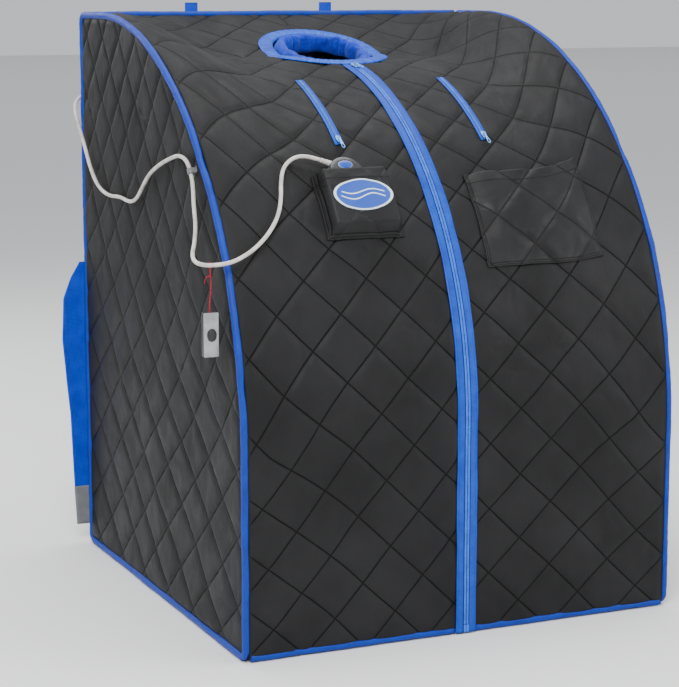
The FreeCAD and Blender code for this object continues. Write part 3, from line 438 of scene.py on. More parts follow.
def quilted_look():
    """Charcoal satin polyester, stitched through in diamonds, with fine crinkles; the stitched
    lines are painted near black, partly thread and partly painted shade in the grooves.
    """
    k = Look("quilted_satin", (0.03, 0.03, 0.031), 0.5, specular_ior_level=0.14)
    cloth, quilt = k.attribute("cloth"), k.split(k.attribute("quilt"))
    seams = []
    for here, beside in ((0, 1), (1, 0)):
        away = k.math("MULTIPLY", k.math("PINGPONG", quilt[here], 1.0), QUILT_HALF)
        stitch = k.math("PINGPONG", k.math("MULTIPLY", quilt[beside], QUILT_HALF / STITCH), 1.0)
        width = k.math("MULTIPLY_ADD", stitch, 0.4 * MM, 0.55 * MM)
        seams.append(k.fade(k.math("SUBTRACT", away, width), 0.0, 0.9 * MM))
    line = k.math("MULTIPLY", k.union(seams), quilt[2])
    crease = k.noise(k.stretch(cloth, (1.0, 0.7, 1.0)), 16.0, 7.0, 0.62, 0.9)
    folds = k.noise(k.stretch(cloth, (2.6, 0.9, 1.0)), 26.0, 5.0, 0.6, 1.6,
                    "RIDGED_MULTIFRACTAL")
    weave = k.noise(k.stretch(cloth, (1.0, 1.0, 1.0)), 1500.0, 2.0, 0.7)
    tone = k.noise(cloth, 5.0, 4.0, 0.6)
    body = k.mix(k.band(tone, 0.3, 0.7), (0.0068, 0.0068, 0.0072), (0.0145, 0.0145, 0.0152))
    body = k.mix(k.band(weave, 0.35, 0.65, 0.0, 0.22), body, (0.028, 0.028, 0.029))
    # Painted shade: the stitched lines are darkened near black, partly the thread and partly shade
    # that falls in the grooves between the puffs.
    k.color(k.mix(line, body, (0.0012, 0.0012, 0.0013)))
    k.rough(k.band(crease, 0.2, 0.8, 0.46, 0.66))
    k.bump((crease, 0.75, 2.6 * MM), (folds, 0.40, 1.1 * MM), (weave, 0.35, 0.12 * MM),
           (k.invert(line), 1.0, 1.2 * MM))
    return k.mat


def lining_look():
    """Silver reflective film on the inner side of the panels."""
    k = Look("silver_lining", (0.62, 0.63, 0.65), 0.34, metallic=0.85)
    place = k.place()
    emboss = k.node("ShaderNodeTexVoronoi", {"Vector": place, "Scale": 160.0}).outputs[0]
    crease = k.noise(place, 22.0, 6.0, 0.6, 0.8)
    k.rough(k.band(crease, 0.3, 0.7, 0.25, 0.42))
    k.bump((crease, 0.6, 2 * MM), (emboss, 0.4, 0.3 * MM))
    return k.mat


def woven_look(name, dark, light, pitch, rough=0.55, stitch_at=None, coil_shade_width=None):
    """Woven tape or webbing: cloth attribute x across and y along, in metres."""
    k = Look(name, light, rough, specular_ior_level=0.25)
    cloth = k.attribute("cloth")
    part = k.split(cloth)
    weave = k.math("MULTIPLY", k.zigzag(part[0], pitch), k.zigzag(part[1], pitch))
    tone = k.noise(cloth, 30.0, 4.0, 0.6)
    mask = k.band(k.math("MULTIPLY_ADD", tone, 0.5, k.math("MULTIPLY", weave, 0.5)), 0.15, 0.65)
    base = k.mix(mask, dark, light)
    heights = [(weave, 0.6, 0.25 * MM), (tone, 0.4, 1.2 * MM)]
    if stitch_at:
        away = k.gap(k.math("ABSOLUTE", part[0]), stitch_at)
        dash = k.band(k.zigzag(part[1], 1.6 * MM), 0.25, 0.4)
        line = k.math("MULTIPLY", k.fade(away, 0.25 * MM, 0.7 * MM), dash)
        base = k.mix(k.math("MULTIPLY", line, 0.55), base, [c * 0.35 for c in dark])
        heights.append((k.invert(k.fade(away, 0.3 * MM, 1.4 * MM)), 0.6, 0.5 * MM))
    # Painted shade: the tape is darkened within this width of the zip's middle, beside and under
    # the coil.
    if coil_shade_width:
        near = k.fade(k.math("ABSOLUTE", part[0]), coil_shade_width, coil_shade_width + 1.6 * MM)
        base = k.mix(near, base, [c * 0.25 for c in dark])
    k.color(base)
    k.rough(k.band(tone, 0.3, 0.7, rough - 0.08, rough + 0.08))
    k.bump(*heights)
    return k.mat


def pocket_look():
    """Charcoal pocket cloth: stitched hem and edges, and the quilting faint across it."""
    k = Look("pocket_satin", (0.03, 0.03, 0.031), 0.48, specular_ior_level=0.20)
    cloth, band = k.attribute("cloth"), k.split(k.attribute("quilt"))
    crease = k.noise(k.stretch(cloth, (1.0, 1.6, 1.0)), 24.0, 6.0, 0.6, 1.4)
    weave = k.noise(cloth, 1600.0, 2.0, 0.7)
    seams = [k.fade(k.gap(band[source], at), 0.35 * MM, 1.1 * MM)
             for source, at in ((0, POCKET_HEM), (1, 2.6 * MM), (1, 6.4 * MM))]
    lattice = k.split(k.attribute("lattice"))
    for part in (0, 1):
        away = k.math("MULTIPLY", k.math("PINGPONG", lattice[part], 1.0), QUILT_HALF)
        seams.append(k.math("MULTIPLY", k.fade(away, 0.6 * MM, 1.7 * MM), lattice[2]))
    line = k.union(seams)
    body = k.mix(k.band(k.noise(cloth, 9.0, 4.0), 0.3, 0.7), (0.0085, 0.0085, 0.009),
                 (0.016, 0.016, 0.0168))
    k.color(k.mix(line, body, (0.004, 0.004, 0.0042)))
    k.rough(k.band(crease, 0.2, 0.8, 0.40, 0.58))
    k.bump((crease, 0.5, 2 * MM), (weave, 0.3, 0.1 * MM),
           (k.invert(line), 0.9, 0.8 * MM))
    return k.mat


def plush_look():
    """Royal blue pile, lighter where the fibres stand to the light."""
    k = Look("plush_pile", (0.01, 0.04, 0.55), 0.85, sheen_weight=0.35, sheen_roughness=0.5,
             sheen_tint=(0.25, 0.4, 1.0, 1.0), specular_ior_level=0.2)
    place = k.place()
    pile = k.noise(place, 900.0, 3.0, 0.7, 0.6)
    clump = k.noise(place, 110.0, 4.0, 0.65, 0.5)
    k.color(k.mix(k.band(clump, 0.3, 0.7), (0.0, 0.008, 0.20), (0.002, 0.030, 0.50)))
    k.bump((clump, 0.7, 1.6 * MM), (pile, 0.8, 0.6 * MM))
    return k.mat


def satin_look():
    """Azure satin ring, with soft gathers; its colour is painted darker in the gathers' hollows and
    lighter on their crests, as painted shade and painted highlight.
    """
    k = Look("ring_satin", (0.02, 0.25, 0.80), 0.42, specular_ior_level=0.3)
    part = k.attribute("cloth")
    gather = k.noise(k.stretch(part, (0.6, 5.0, 1.0)), 42.0, 4.0, 0.6, 0.8)
    fine = k.noise(k.stretch(part, (300.0, 1500.0, 1.0)), 1.0, 2.0)
    # Painted shade and highlight: the colour follows the gather relief, darker in the hollows and
    # lighter on the crests.
    k.color(k.mix(k.band(gather, 0.3, 0.7), (0.0, 0.030, 0.32), (0.0, 0.095, 0.64)))
    k.rough(k.band(gather, 0.3, 0.7, 0.34, 0.5))
    k.bump((gather, 0.6, 1.8 * MM), (fine, 0.2, 0.1 * MM))
    return k.mat


def plastic_look(name, color, rough, **fixed):
    """Moulded plastic with a fine spark-eroded grain and slight handling wear."""
    k = Look(name, color, rough, **fixed)
    place = k.place()
    fine, wear = k.noise(place, 1100.0, 3.0, 0.6), k.noise(place, 45.0, 5.0, 0.65)
    light = [min(1.0, c * 1.22 + 0.004) for c in color]
    dark = [c * 0.84 for c in color]
    k.color(k.mix(k.band(wear, 0.35, 0.68), dark, light))
    k.rough(k.band(wear, 0.3, 0.75, rough - 0.07, rough + 0.10))
    k.bump((fine, 0.22, 0.08 * MM), (wear, 0.10, 0.3 * MM))
    return k.mat


def metal_look(name, color, rough, metallic=1.0, **fixed):
    """Cast or drawn metal with fine scratches, brighter at worn places."""
    k = Look(name, color, rough, metallic=metallic, **fixed)
    place = k.place()
    scratch = k.noise(k.stretch(place, (900.0, 900.0, 60.0)), 1.0, 3.0, 0.6)
    wear = k.noise(place, 180.0, 4.0, 0.6)
    k.color(k.mix(k.band(wear, 0.4, 0.7), [c * 0.8 for c in color],
                  [min(1.0, c * 1.25) for c in color]))
    k.rough(k.band(scratch, 0.3, 0.7, rough - 0.06, rough + 0.1))
    k.bump((scratch, 0.15, 0.05 * MM), (wear, 0.12, 0.1 * MM))
    return k.mat


def badge_look():
    """Woven oval badge: pale rim and two plain waves on blue. cloth holds x, y, radius."""
    k = Look("badge_weave", (0.02, 0.13, 0.55), 0.6, sheen_weight=0.2)
    cloth = k.attribute("cloth")
    part = k.split(cloth)
    rim = k.band(part[2], 0.90, 0.915)
    wave = k.math("SINE", k.math("MULTIPLY", part[0], 95.0))
    waves = [k.fade(k.gap(part[1], k.math("MULTIPLY_ADD", wave, tall, at)), 0.8 * MM, 1.3 * MM)
             for at, tall in ((-3.5 * MM, 4.5 * MM), (5.5 * MM, 3.2 * MM))]
    lines = k.math("MULTIPLY", k.union(waves), k.fade(part[2], 0.72, 0.76))
    pale = k.math("MAXIMUM", rim, lines)
    thread = k.zigzag(part[1], 0.45 * MM)
    blue = k.mix(thread, (0.0, 0.035, 0.30), (0.0, 0.075, 0.46))
    k.color(k.mix(pale, blue, (0.62, 0.72, 0.80)))
    k.bump((thread, 0.5, 0.15 * MM), (pale, 0.7, 0.4 * MM))
    return k.mat


def heater_look():
    """Carbon heating film: dark laminate with bus strips and fine rows."""
    k = Look("heating_film", (0.05, 0.045, 0.045), 0.35, coat_weight=0.3)
    place = k.place()
    part = k.split(place)
    rows = k.zigzag(part[2], 9 * MM)
    tone = k.noise(place, 30.0, 4.0)
    base = k.mix(k.band(rows, 0.15, 0.25), (0.22, 0.12, 0.06), (0.03, 0.028, 0.028))
    k.color(k.mix(k.band(tone, 0.3, 0.7, 0.0, 0.3), base, (0.09, 0.08, 0.08)))
    k.bump((rows, 0.5, 0.3 * MM), (tone, 0.3, 1 * MM))
    return k.mat


def string_look():
    """Red twisted thread, a little fuzzy."""
    k = Look("red_thread", (0.45, 0.008, 0.03), 0.7, specular_ior_level=0.2)
    fuzz = k.noise(k.place(), 2600.0, 3.0, 0.7)
    k.color(k.mix(fuzz, (0.20, 0.002, 0.010), (0.52, 0.010, 0.035)))
    k.bump((fuzz, 0.6, 0.15 * MM))
    return k.mat


QUILTED, LINING, POCKET, PLUSH = quilted_look(), lining_look(), pocket_look(), plush_look()
SATIN, BADGE, HEATER, STRING = satin_look(), badge_look(), heater_look(), string_look()
BINDING = woven_look("binding_weave", (0.0, 0.016, 0.20), (0.0, 0.045, 0.46), 0.55 * MM, 0.5)
TAPE = woven_look("zip_tape_weave", (0.0, 0.024, 0.28), (0.0, 0.085, 0.60), 1.0 * MM, 0.5,
                  stitch_at=15.5 * MM, coil_shade_width=5.2 * MM)
ARM_TAPE = woven_look("arm_tape_weave", (0.0, 0.035, 0.34), (0.0, 0.105, 0.66), 0.8 * MM,
                      0.5, stitch_at=6.2 * MM, coil_shade_width=2.9 * MM)
STRAP = woven_look("strap_webbing", (0.0, 0.022, 0.34), (0.0, 0.060, 0.62), 1.3 * MM, 0.5,
                   stitch_at=21 * MM)
HOOK = woven_look("hook_tape_grey", (0.10, 0.105, 0.11), (0.24, 0.25, 0.26), 0.7 * MM, 0.8)
COIL = plastic_look("coil_nylon", (0.0, 0.105, 0.58), 0.35, coat_weight=0.2)
SLIDER = metal_look("pale_blue_zinc", (0.16, 0.38, 0.80), 0.34, 0.45, coat_weight=0.4)
SILVER = plastic_look("silver_plastic", (0.33, 0.335, 0.34), 0.36, metallic=0.25)
SMOKE = plastic_look("smoke_plastic", (0.022, 0.023, 0.025), 0.30, coat_weight=0.3)
BLACK = plastic_look("black_plastic", (0.018, 0.018, 0.019), 0.45)
CORD = plastic_look("cord_vinyl", (0.52, 0.50, 0.47), 0.38, coat_weight=0.15)
CLIP = plastic_look("clip_plastic", (0.12, 0.122, 0.12), 0.45)
LENS = plastic_look("display_tint", (0.01, 0.03, 0.09), 0.12, coat_weight=0.6)
RUBBER = plastic_look("key_silicone", (0.03, 0.16, 0.50), 0.6)
STEEL = metal_look("spring_wire", (0.56, 0.57, 0.58), 0.28)
MARK_BLUE = plastic_look("head_mark_blue", (0.0, 0.06, 0.42), 0.3, coat_weight=0.5)


# ---------------------------------------------------------------- camera, light and floor
def studio():
    """Camera, lamps, pale world and the floor, none of them a part of the object."""
    camera = add("camera", bpy.data.cameras.new("camera"))
    camera.location = (-1.587, -3.431, 1.084)
    camera.rotation_euler = (math.radians(90 - 9.73), 0, math.radians(-24.16))
    camera.data.lens, camera.data.sensor_width = 108.5, 36.0
    bpy.context.scene.camera = camera
    lamps = [("key", (-1.6, -2.6, 3.0), 2.0, 150), ("fill", (2.8, -2.2, 1.8), 2.6, 60),
             ("top", (0.2, 0.4, 3.2), 2.4, 62), ("back", (-1.2, 3.0, 2.2), 2.4, 40),
             ("side", (-3.2, 0.4, 1.2), 2.2, 16)]
    for name, place, size, power in lamps:
        lamp = add(name, bpy.data.lights.new(name, "AREA"))
        lamp.data.shape, lamp.data.size, lamp.data.energy = "DISK", size, power
        lamp.location = place
        aim = Vector((0, 0, 0.5)) - Vector(place)
        lamp.rotation_euler = aim.to_track_quat("-Z", "Y").to_euler()
    world = bpy.data.worlds.new("studio")
    world.use_nodes = True
    world.node_tree.nodes["Background"].inputs[0].default_value = (0.95, 0.97, 1.0, 1)
    world.node_tree.nodes["Background"].inputs[1].default_value = 0.72
    bpy.context.scene.world = world
    floor_look = Look("studio_floor", (0.86, 0.86, 0.86), 0.9)
    span = np.linspace(-30, 30, 3)
    outer = stack(*grid(span, span), 0.0)
    floor = shell("floor", outer - [0, 0, 1 * MM], outer - [0, 0, 30 * MM], floor_look.mat)


studio()

# ---------------------------------------------------------------- control cord
CORD_EXIT = (-198.2, -256.1, 800.9)
CORD_ROUTE = [
    (-220.0, -249.3, 809.0), (-245.0, -248.0, 806.0), (-267.0, -259.0, 791.0),
    (-279.0, -278.0, 768.0), (-287.0, -299.0, 744.0), (-300.0, -319.0, 719.0),
    (-323.0, -336.0, 693.0), (-353.0, -350.0, 671.0), (-382.0, -361.0, 658.0),
    (-404.0, -367.0, 652.0), (-426.0, -363.0, 649.0), (-443.0, -347.0, 648.0),
    (-449.0, -323.0, 651.0), (-441.0, -293.0, 660.0), (-426.0, -264.0, 673.0),
    (-414.0, -238.0, 699.0), (-413.0, -226.0, 734.0),
    (-413.0, -224.0, 770.0), (-413.0, -201.0, 802.0), (-413.0, -160.0, 810.0),
    (-413.0, -112.0, 800.0), (-413.0, -55.0, 785.0), (-413.0, -3.0, 765.0),
    (-413.0, 36.0, 738.0), (-413.0, 66.0, 715.0), (-413.0, 106.0, 705.0),
    (-413.0, 160.0, 711.0), (-413.0, 228.0, 706.0), (-413.0, 292.0, 717.0),
    (-413.0, 338.0, 748.0), (-414.0, 366.0, 786.0), (-417.0, 396.0, 828.0),
    (-418.0, 419.0, 859.0), (-407.0, 431.0, 875.0), (-389.0, 439.0, 883.0),
    (-371.0, 441.0, 886.5),
]
CORD_END = (-354.0, 439.0, 885.0)
CORD_R = 3.5 * MM


def nurbs_points(points):
    """The line of a NURBS spline with these control points."""
    data = bpy.data.curves.new("route", "CURVE")
    data.dimensions, data.resolution_u = "3D", 12
    spline = data.splines.new("NURBS")
    spline.points.add(len(points) - 1)
    for knot, point in zip(spline.points, points):
        knot.co = (*point, 1)
    spline.order_u = 3
    spline.use_endpoint_u = True
    obj = add("route", data)
    bpy.context.view_layer.update()
    mesh = bpy.data.meshes.new_from_object(obj)
    line = np.array([v.co for v in mesh.vertices])
    bpy.data.objects.remove(obj)
    bpy.data.meshes.remove(mesh)
    return line


def control_cord():
    """The grey cord from the handset to the gland."""
    route = [np.array(p) * MM for p in [CORD_EXIT, *CORD_ROUTE, CORD_END]]
    line = nurbs_points(route)
    rings = tube_rings(line, CORD_R, 12)
    obj = loft("control_cord_jacket", rings, CORD)
    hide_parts("control_cord")
    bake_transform(obj)


control_cord()


# ---------------------------------------------------------------- quilted panels
def pillow(u, v):
    """Puff of quilted cloth, 0 on a stitched line and near 1 in a diamond's middle."""
    puff = 1.0
    for w in (u, v):
        away = (1 - np.abs(np.mod(w, 2) - 1)) * QUILT_HALF
        puff = puff * (1 - np.exp(-away / (5.5 * MM)))
    return puff


# Where two stitched lines cross, across and up, and half a diamond's width and height.
LEFT_QUILT = -163 * MM, 507 * MM, 55.3 * MM, 56.5 * MM
RIGHT_QUILT = 103.5 * MM, 493.5 * MM, 58.6 * MM, 56 * MM
SIDE_QUILT = 63.5 * MM, 654 * MM, 52.5 * MM, 57 * MM
BACK_QUILT = 20 * MM, 510 * MM, 57.5 * MM, 56.5 * MM


def front_lattice(x, s):
    """Stitch coordinates of the cover: both are even whole numbers on stitched lines."""
    left = x < 0
    lean = np.where(left, 0.08 * np.clip(0.45 - s, 0, 0.4), 0.0)
    at_x, at_s, wide, tall = (np.where(left, a, b) for a, b in zip(LEFT_QUILT, RIGHT_QUILT))
    across, up = (x - at_x - lean) / wide, (s - at_s) / tall
    wander = 0.035 * drift(x, s, 0.09, 5)
    return across + up + wander, across - up - wander


def side_lattice(y, z):
    """Stitch coordinates of a side panel: the diamonds widen a little lower down."""
    at_y, at_z, wide, tall = SIDE_QUILT
    wide = np.clip(wide + 0.045 * (at_z - z), 47 * MM, 66 * MM)
    across = (y - at_y - 0.04 * (at_z - z)) / wide
    up = (z - at_z) / tall - 1
    wander = 0.035 * drift(y, z, 0.09, 6)
    return across + up + wander, across - up - wander


def creases(a, b, marks):
    """Depth of folds: each mark is a line between two places, with depth and width."""
    depth = np.zeros(np.shape(a))
    for a0, b0, a1, b1, deep, wide in marks:
        da, db = a1 - a0, b1 - b0
        long = math.hypot(da, db)
        t = ((a - a0) * da + (b - b0) * db) / long ** 2
        off = ((a - a0) * db - (b - b0) * da) / long
        off = off - 0.06 * long * np.sin(np.clip(t, 0, 1) * 5.3 + a0 * 90)
        taper = ease(t / 0.35) * ease((1 - t) / 0.35)
        depth += deep * taper * np.exp(-(off / wide) ** 2)
    return depth


FOLD_DEEP, FOLD_WIDE = 1.1 * MM, 3.4 * MM    # of a usual crease


def fan(rng, centre, count, reach, heading, spread):
    """Creases that run out from round a place, as cloth pulled at a seam has."""
    marks = []
    for _ in range(count):
        turn = heading + rng.uniform(-spread, spread)
        start = centre + rng.uniform(-0.5, 0.5, 2) * reach * 0.6
        end = start + np.array([math.cos(turn), math.sin(turn)]) * reach * rng.uniform(0.4, 1)
        marks.append((*start, *end, FOLD_DEEP * rng.uniform(0.5, 1.2),
                      FOLD_WIDE * rng.uniform(0.8, 1.3)))
    return marks


def folds(rng, places):
    """All creases of a list of places: across, up, count, reach, heading and spread each."""
    return [mark for across, up, *rest in places
            for mark in fan(rng, np.array([across, up]), *rest)]


crease_draws = np.random.default_rng(11)
FOLD_MARKS = folds(crease_draws, [
    (0.05, 0.47, 6, 0.09, 0.05, 0.5), (0.16, 0.46, 7, 0.10, 0.0, 0.6),
    (0.25, 0.42, 4, 0.08, -0.3, 0.5), (-0.06, 0.52, 5, 0.08, 2.5, 0.4),
    (-0.13, 0.60, 4, 0.09, 2.3, 0.4), (-0.30, 0.45, 5, 0.10, 1.6, 0.3),
    (-0.20, 0.30, 5, 0.09, 1.6, 0.3), (0.10, 0.55, 4, 0.08, 1.7, 0.4),
    (0.19, 0.58, 5, 0.08, 1.5, 0.7), (0.33, 0.72, 4, 0.08, 1.4, 0.6),
    (-0.15, 0.66, 5, 0.06, 1.6, 0.8), (-0.27, 0.72, 4, 0.07, 1.2, 0.5),
    (0.10, 1.20, 5, 0.08, 0.2, 0.5), (-0.16, 1.22, 5, 0.08, 2.9, 0.5),
    (0.20, 1.30, 5, 0.10, 0.1, 0.4), (-0.24, 1.30, 4, 0.10, 3.0, 0.4),
    (0.07, 0.10, 4, 0.07, 0.1, 0.5), (-0.06, 0.13, 3, 0.07, 3.0, 0.5),
    (0.30, 1.00, 4, 0.10, 0.9, 0.6), (-0.30, 0.98, 4, 0.10, 2.2, 0.6)])
SIDE_MARKS = folds(crease_draws, [
    (0.02, 0.85, 6, 0.08, 0.3, 0.6), (0.30, 0.55, 4, 0.10, 1.4, 0.5),
    (-0.20, 0.45, 5, 0.10, 1.8, 0.5), (0.10, 0.30, 4, 0.10, 1.2, 0.5),
    (0.36, 0.86, 4, 0.08, 1.5, 0.4), (-0.05, 0.60, 4, 0.09, 0.8, 0.7)])


def stitched(a, b, c, u, v, pinch):
    """Attributes that the quilted material reads: place on the cloth, and stitch lines."""
    return {"cloth": stack(a, b, c), "quilt": stack(u, v, np.clip(pinch * 3, 0, 1))}


PUFF = 4.2 * MM
PITCH = 4.2 * MM      # size of a cell of the quilted meshes
FLAP_BEND = 26 * MM          # half of the distance between the points either side of a flap's fold line


def fold_line(sign):
    """Points on the tent's and the door's side of a flap's diagonal fold."""
    rise = (DOOR_TOP - HEM_TALL) / INNER_X
    away = np.array([-sign * rise, 0, -1.0]) / math.hypot(rise, 1)
    middle = np.array([sign * INNER_X / 2, -HALF_D, (DOOR_TOP + HEM_TALL) / 2])
    return middle - away * FLAP_BEND, middle + away * FLAP_BEND


def cross_fold(obj, side, sign, slot, *nodes):
    """A piece that runs on from the tent over a door flap: the nodes that it replaces are hidden
    and its transform is baked in; the fold line is worked out but not used.
    """
    start, end = fold_line(sign)
    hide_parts(*nodes)
    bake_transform(obj)
    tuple(start)
    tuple(end)
    return obj


NECK_S = float(up_the_middle(NECK_Y))
ARM_FROM, ARM_TO = 50.2, 70.2                # degrees on the arc
ARM_S = at_angle(ARM_FROM), at_angle(ARM_TO)
ARM_X = 140 * MM             # an arm zip's distance from the middle
NECK_HOLE = 103 * MM         # radius of the hole in the cloth, under the ring
COVER_NEAR, COVER_FAR = TAPE_HALF - 5 * MM, INNER_X + 1.5 * MM
PANEL_INSET = 2 * PIPE_R - 3 * MM
PANEL_EDGE = 13 * MM         # how far in the stitched-down edge of a panel reaches
BOX_MARGIN = 30 * MM         # cloth that is pressed flat round the power box
CLOTH_LOW, LINING_LOW = -3.4 * MM, -7.2 * MM      # stitched cloth and lining, from the cover
ARM_FLAT = 2.2 * MM          # how high the cloth is held flat beside an arm zip, over that
SIDE_OUT, SIDE_IN = 0.6 * MM, -4.6 * MM           # both skins of a side, from the piping's middle
BACK_OUT, BACK_IN = -4.8 * MM, -8.2 * MM          # both skins of the back, from the rear face


def cover_lift(x, s):
    """Height of the quilted cloth over the plain cover, its puff, stitches and edge mask."""
    u, v = front_lattice(x, s)
    near = COVER_NEAR * (s < NECK_S)
    pinch = (ease((COVER_FAR - np.abs(x)) / (14 * MM)) * ease((np.abs(x) - near) / (12 * MM))
             * ease((s - 8 * MM) / (12 * MM)) * ease((TOTAL - s) / (14 * MM)))
    puff = PUFF * pillow(u, v) * (0.3 + 0.7 * pinch)
    slack = (2.2 * MM * drift(x, s, 0.16, 3) + 1.1 * MM * drift(x, s, 0.055, 4)
             + 0.45 * MM * drift(x, s * 0.7, 0.018, 12))
    slack = slack - creases(x, s, FOLD_MARKS)
    zipped = (ease((16 * MM - np.abs(np.abs(x) - ARM_X)) / (7 * MM))
              * ease((s - ARM_S[0] + 8 * MM) / (9 * MM)) * ease((ARM_S[1] + 8 * MM - s) / (9 * MM)))
    lift = CLOTH_LOW + (puff + slack * pinch) * (1 - zipped) + ARM_FLAT * zipped
    return lift, puff, u, v, pinch


def cover_half(side, sign):
    """One half of the quilted front and top, with its door flap, silver inside."""
    part = np.linspace(0, 1, int((COVER_FAR - COVER_NEAR) / PITCH) + 1)
    s = np.linspace(9 * MM, TOTAL, int(TOTAL / PITCH) + 1)
    part, s = grid(part if sign > 0 else part[::-1], s)
    near = COVER_NEAR * (s < NECK_S)
    x = sign * (near + (COVER_FAR - near) * part)
    lift, puff, u, v, pinch = cover_lift(x, s)
    outer = skin(x, s, lift)
    inner = skin(x, s, LINING_LOW - 0.35 * puff)
    cell_x, cell_s = ((v[:-1, :-1] + v[1:, 1:]) / 2 for v in (x, s))
    past = np.clip(np.abs(outer[:-1, :-1, 1] - NECK_Y) - NECK_STRAIGHT, 0, None)
    on_top = cell_s > 0.9
    keep = ~((np.hypot(cell_x, past) < NECK_HOLE) & on_top)
    obj = shell(side + "_cover", outer, inner, [QUILTED, LINING], keep,
                stitched(x, s, 0, u, v, pinch))
    return cross_fold(obj, side, sign, "quilted_fabric", side + "_flap_panel",
                                *left_only(side, "front_cover"))


def side_rows(inset):
    """Front edge of a side panel, from the floor up, drawn in by an inset."""
    radius = EDGE_R - inset
    low = np.linspace(inset, EDGE_RISE, int(EDGE_RISE / PITCH / 0.8) // 2 * 2)
    turn = np.linspace(0, math.pi / 2, int(radius * math.pi / 2 / PITCH * 0.8))[1:]
    z = np.concatenate([low, EDGE_RISE + radius * np.sin(turn)])
    y = np.concatenate([np.full(len(low), -HALF_D + inset),
                        EDGE_R - HALF_D - radius * np.cos(turn)])
    return y, z


def tufting(u, v, one_edge, other_edge, z):
    """Edge mask and puff of an upright panel, from how far each side edge is away."""
    edge = np.minimum.reduce([one_edge, other_edge, z - PANEL_INSET, HEIGHT - PANEL_INSET - z])
    pinch = ease(edge / PANEL_EDGE)
    return pinch, PUFF * pillow(u, v) * (0.25 + 0.75 * pinch)


def side_panel(side, sign):
    """One quilted side, as rows from its front edge to the back."""
    front, z = side_rows(PANEL_INSET)
    back = HALF_D - PANEL_INSET
    t = np.linspace(0, 1, int((back + HALF_D) / PITCH / 1.15))
    y = front[:, None] + (back - front[:, None]) * t[None, :]
    z = np.broadcast_to(z[:, None], y.shape)
    u, v = side_lattice(y, z)
    pinch, puff = tufting(u, v, y - front[:, None], back - y, z)
    slack = (2.4 * MM * drift(y, z, 0.2, 7) + 1.0 * MM * drift(y, z, 0.06, 8)
             + 0.4 * MM * drift(y, z * 0.7, 0.018, 13) - creases(y, z, SIDE_MARKS))
    outside = PIPE_X + SIDE_OUT + puff + slack * pinch
    inside = PIPE_X + SIDE_IN - 0.35 * puff
    outer, inner = (stack(sign * w, y, z) for w in (outside, inside))
    obj = shell(side + "_side", outer, inner, [QUILTED, LINING], None,
                stitched(y, z, sign, u, v, pinch))
    return piece(obj, "tent", "quilted_fabric", side + "_side_panel")


def back_panel():
    """The quilted back, pressed flat behind the power box."""
    step = PITCH * 1.3
    x, z = grid(np.linspace(PANEL_INSET - HALF_W, HALF_W - PANEL_INSET, int(2 * HALF_W / step)),
                np.linspace(PANEL_INSET, HEIGHT - PANEL_INSET, int(HEIGHT / step)))
    at_x, at_z, wide, tall = BACK_QUILT
    across, up = (x - at_x) / wide, (z - at_z) / tall
    u, v = across + up, across - up
    pinch, puff = tufting(u, v, x + HALF_W - PANEL_INSET, HALF_W - PANEL_INSET - x, z)
    slack = 1.6 * MM * drift(x, z, 0.2, 9) + 0.8 * MM * drift(x, z, 0.06, 10)
    outside = HALF_D + BACK_OUT + puff + slack * pinch
    box_low, box_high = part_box("power_box_base")
    near_box = np.prod([ease(inside / BOX_MARGIN + 1) for inside in (
        x - box_low.x, box_high.x - x, z - box_low.z, box_high.z - z)], axis=0)
    outside = outside * (1 - near_box) + (HALF_D + 0.4 * MM) * near_box
    outer = stack(x, outside, z)
    inner = stack(x, HALF_D + BACK_IN - 0.2 * puff, z)
    looks = stitched(x, z, 0, u, v, pinch)
    obj = shell("back_sheet", outer[::-1], inner[::-1], [QUILTED, LINING], None,
                {key: values[::-1] for key, values in looks.items()})
    return piece(obj, "tent", "quilted_fabric", "back_panel")


for hand, way in (("left", -1), ("right", 1)):
    cover_half(hand, way)
    side_panel(hand, way)
back_panel()


# ---------------------------------------------------------------- blue edge binding
def binding(name, path, closed, axis, seed, radius=PIPE_R, squash=1.0):
    """A folded fabric edge round a rod: a tube with a soft roll and two stitched lips."""
    sides = 20
    angle = circle(sides)
    wrapped = (angle + math.pi) % (2 * math.pi) - math.pi
    run = along_path(path)
    total = run[-1] + (np.linalg.norm(path[0] - path[-1]) if closed else 0)
    turn = run / total * 2 * math.pi
    soft = drift(np.cos(turn) * total / 6.3, np.sin(turn) * total / 6.3, 0.03, seed)
    lips = 0.35 * MM * np.exp(-((np.abs(wrapped) - 2.2) / 0.16) ** 2)
    rough = drift(run[:, None], angle * 8 * MM, 9 * MM, seed + 1) * 0.35 * MM
    wide = radius - 0.45 * MM + 0.35 * MM * soft[:, None] + lips + rough
    rings = tube_rings(path, wide, sides, closed, axis, squash)
    flat = stack(wrapped * radius, run[:, None], 0)
    return loft(name, rings, BINDING, closed, {"cloth": flat})


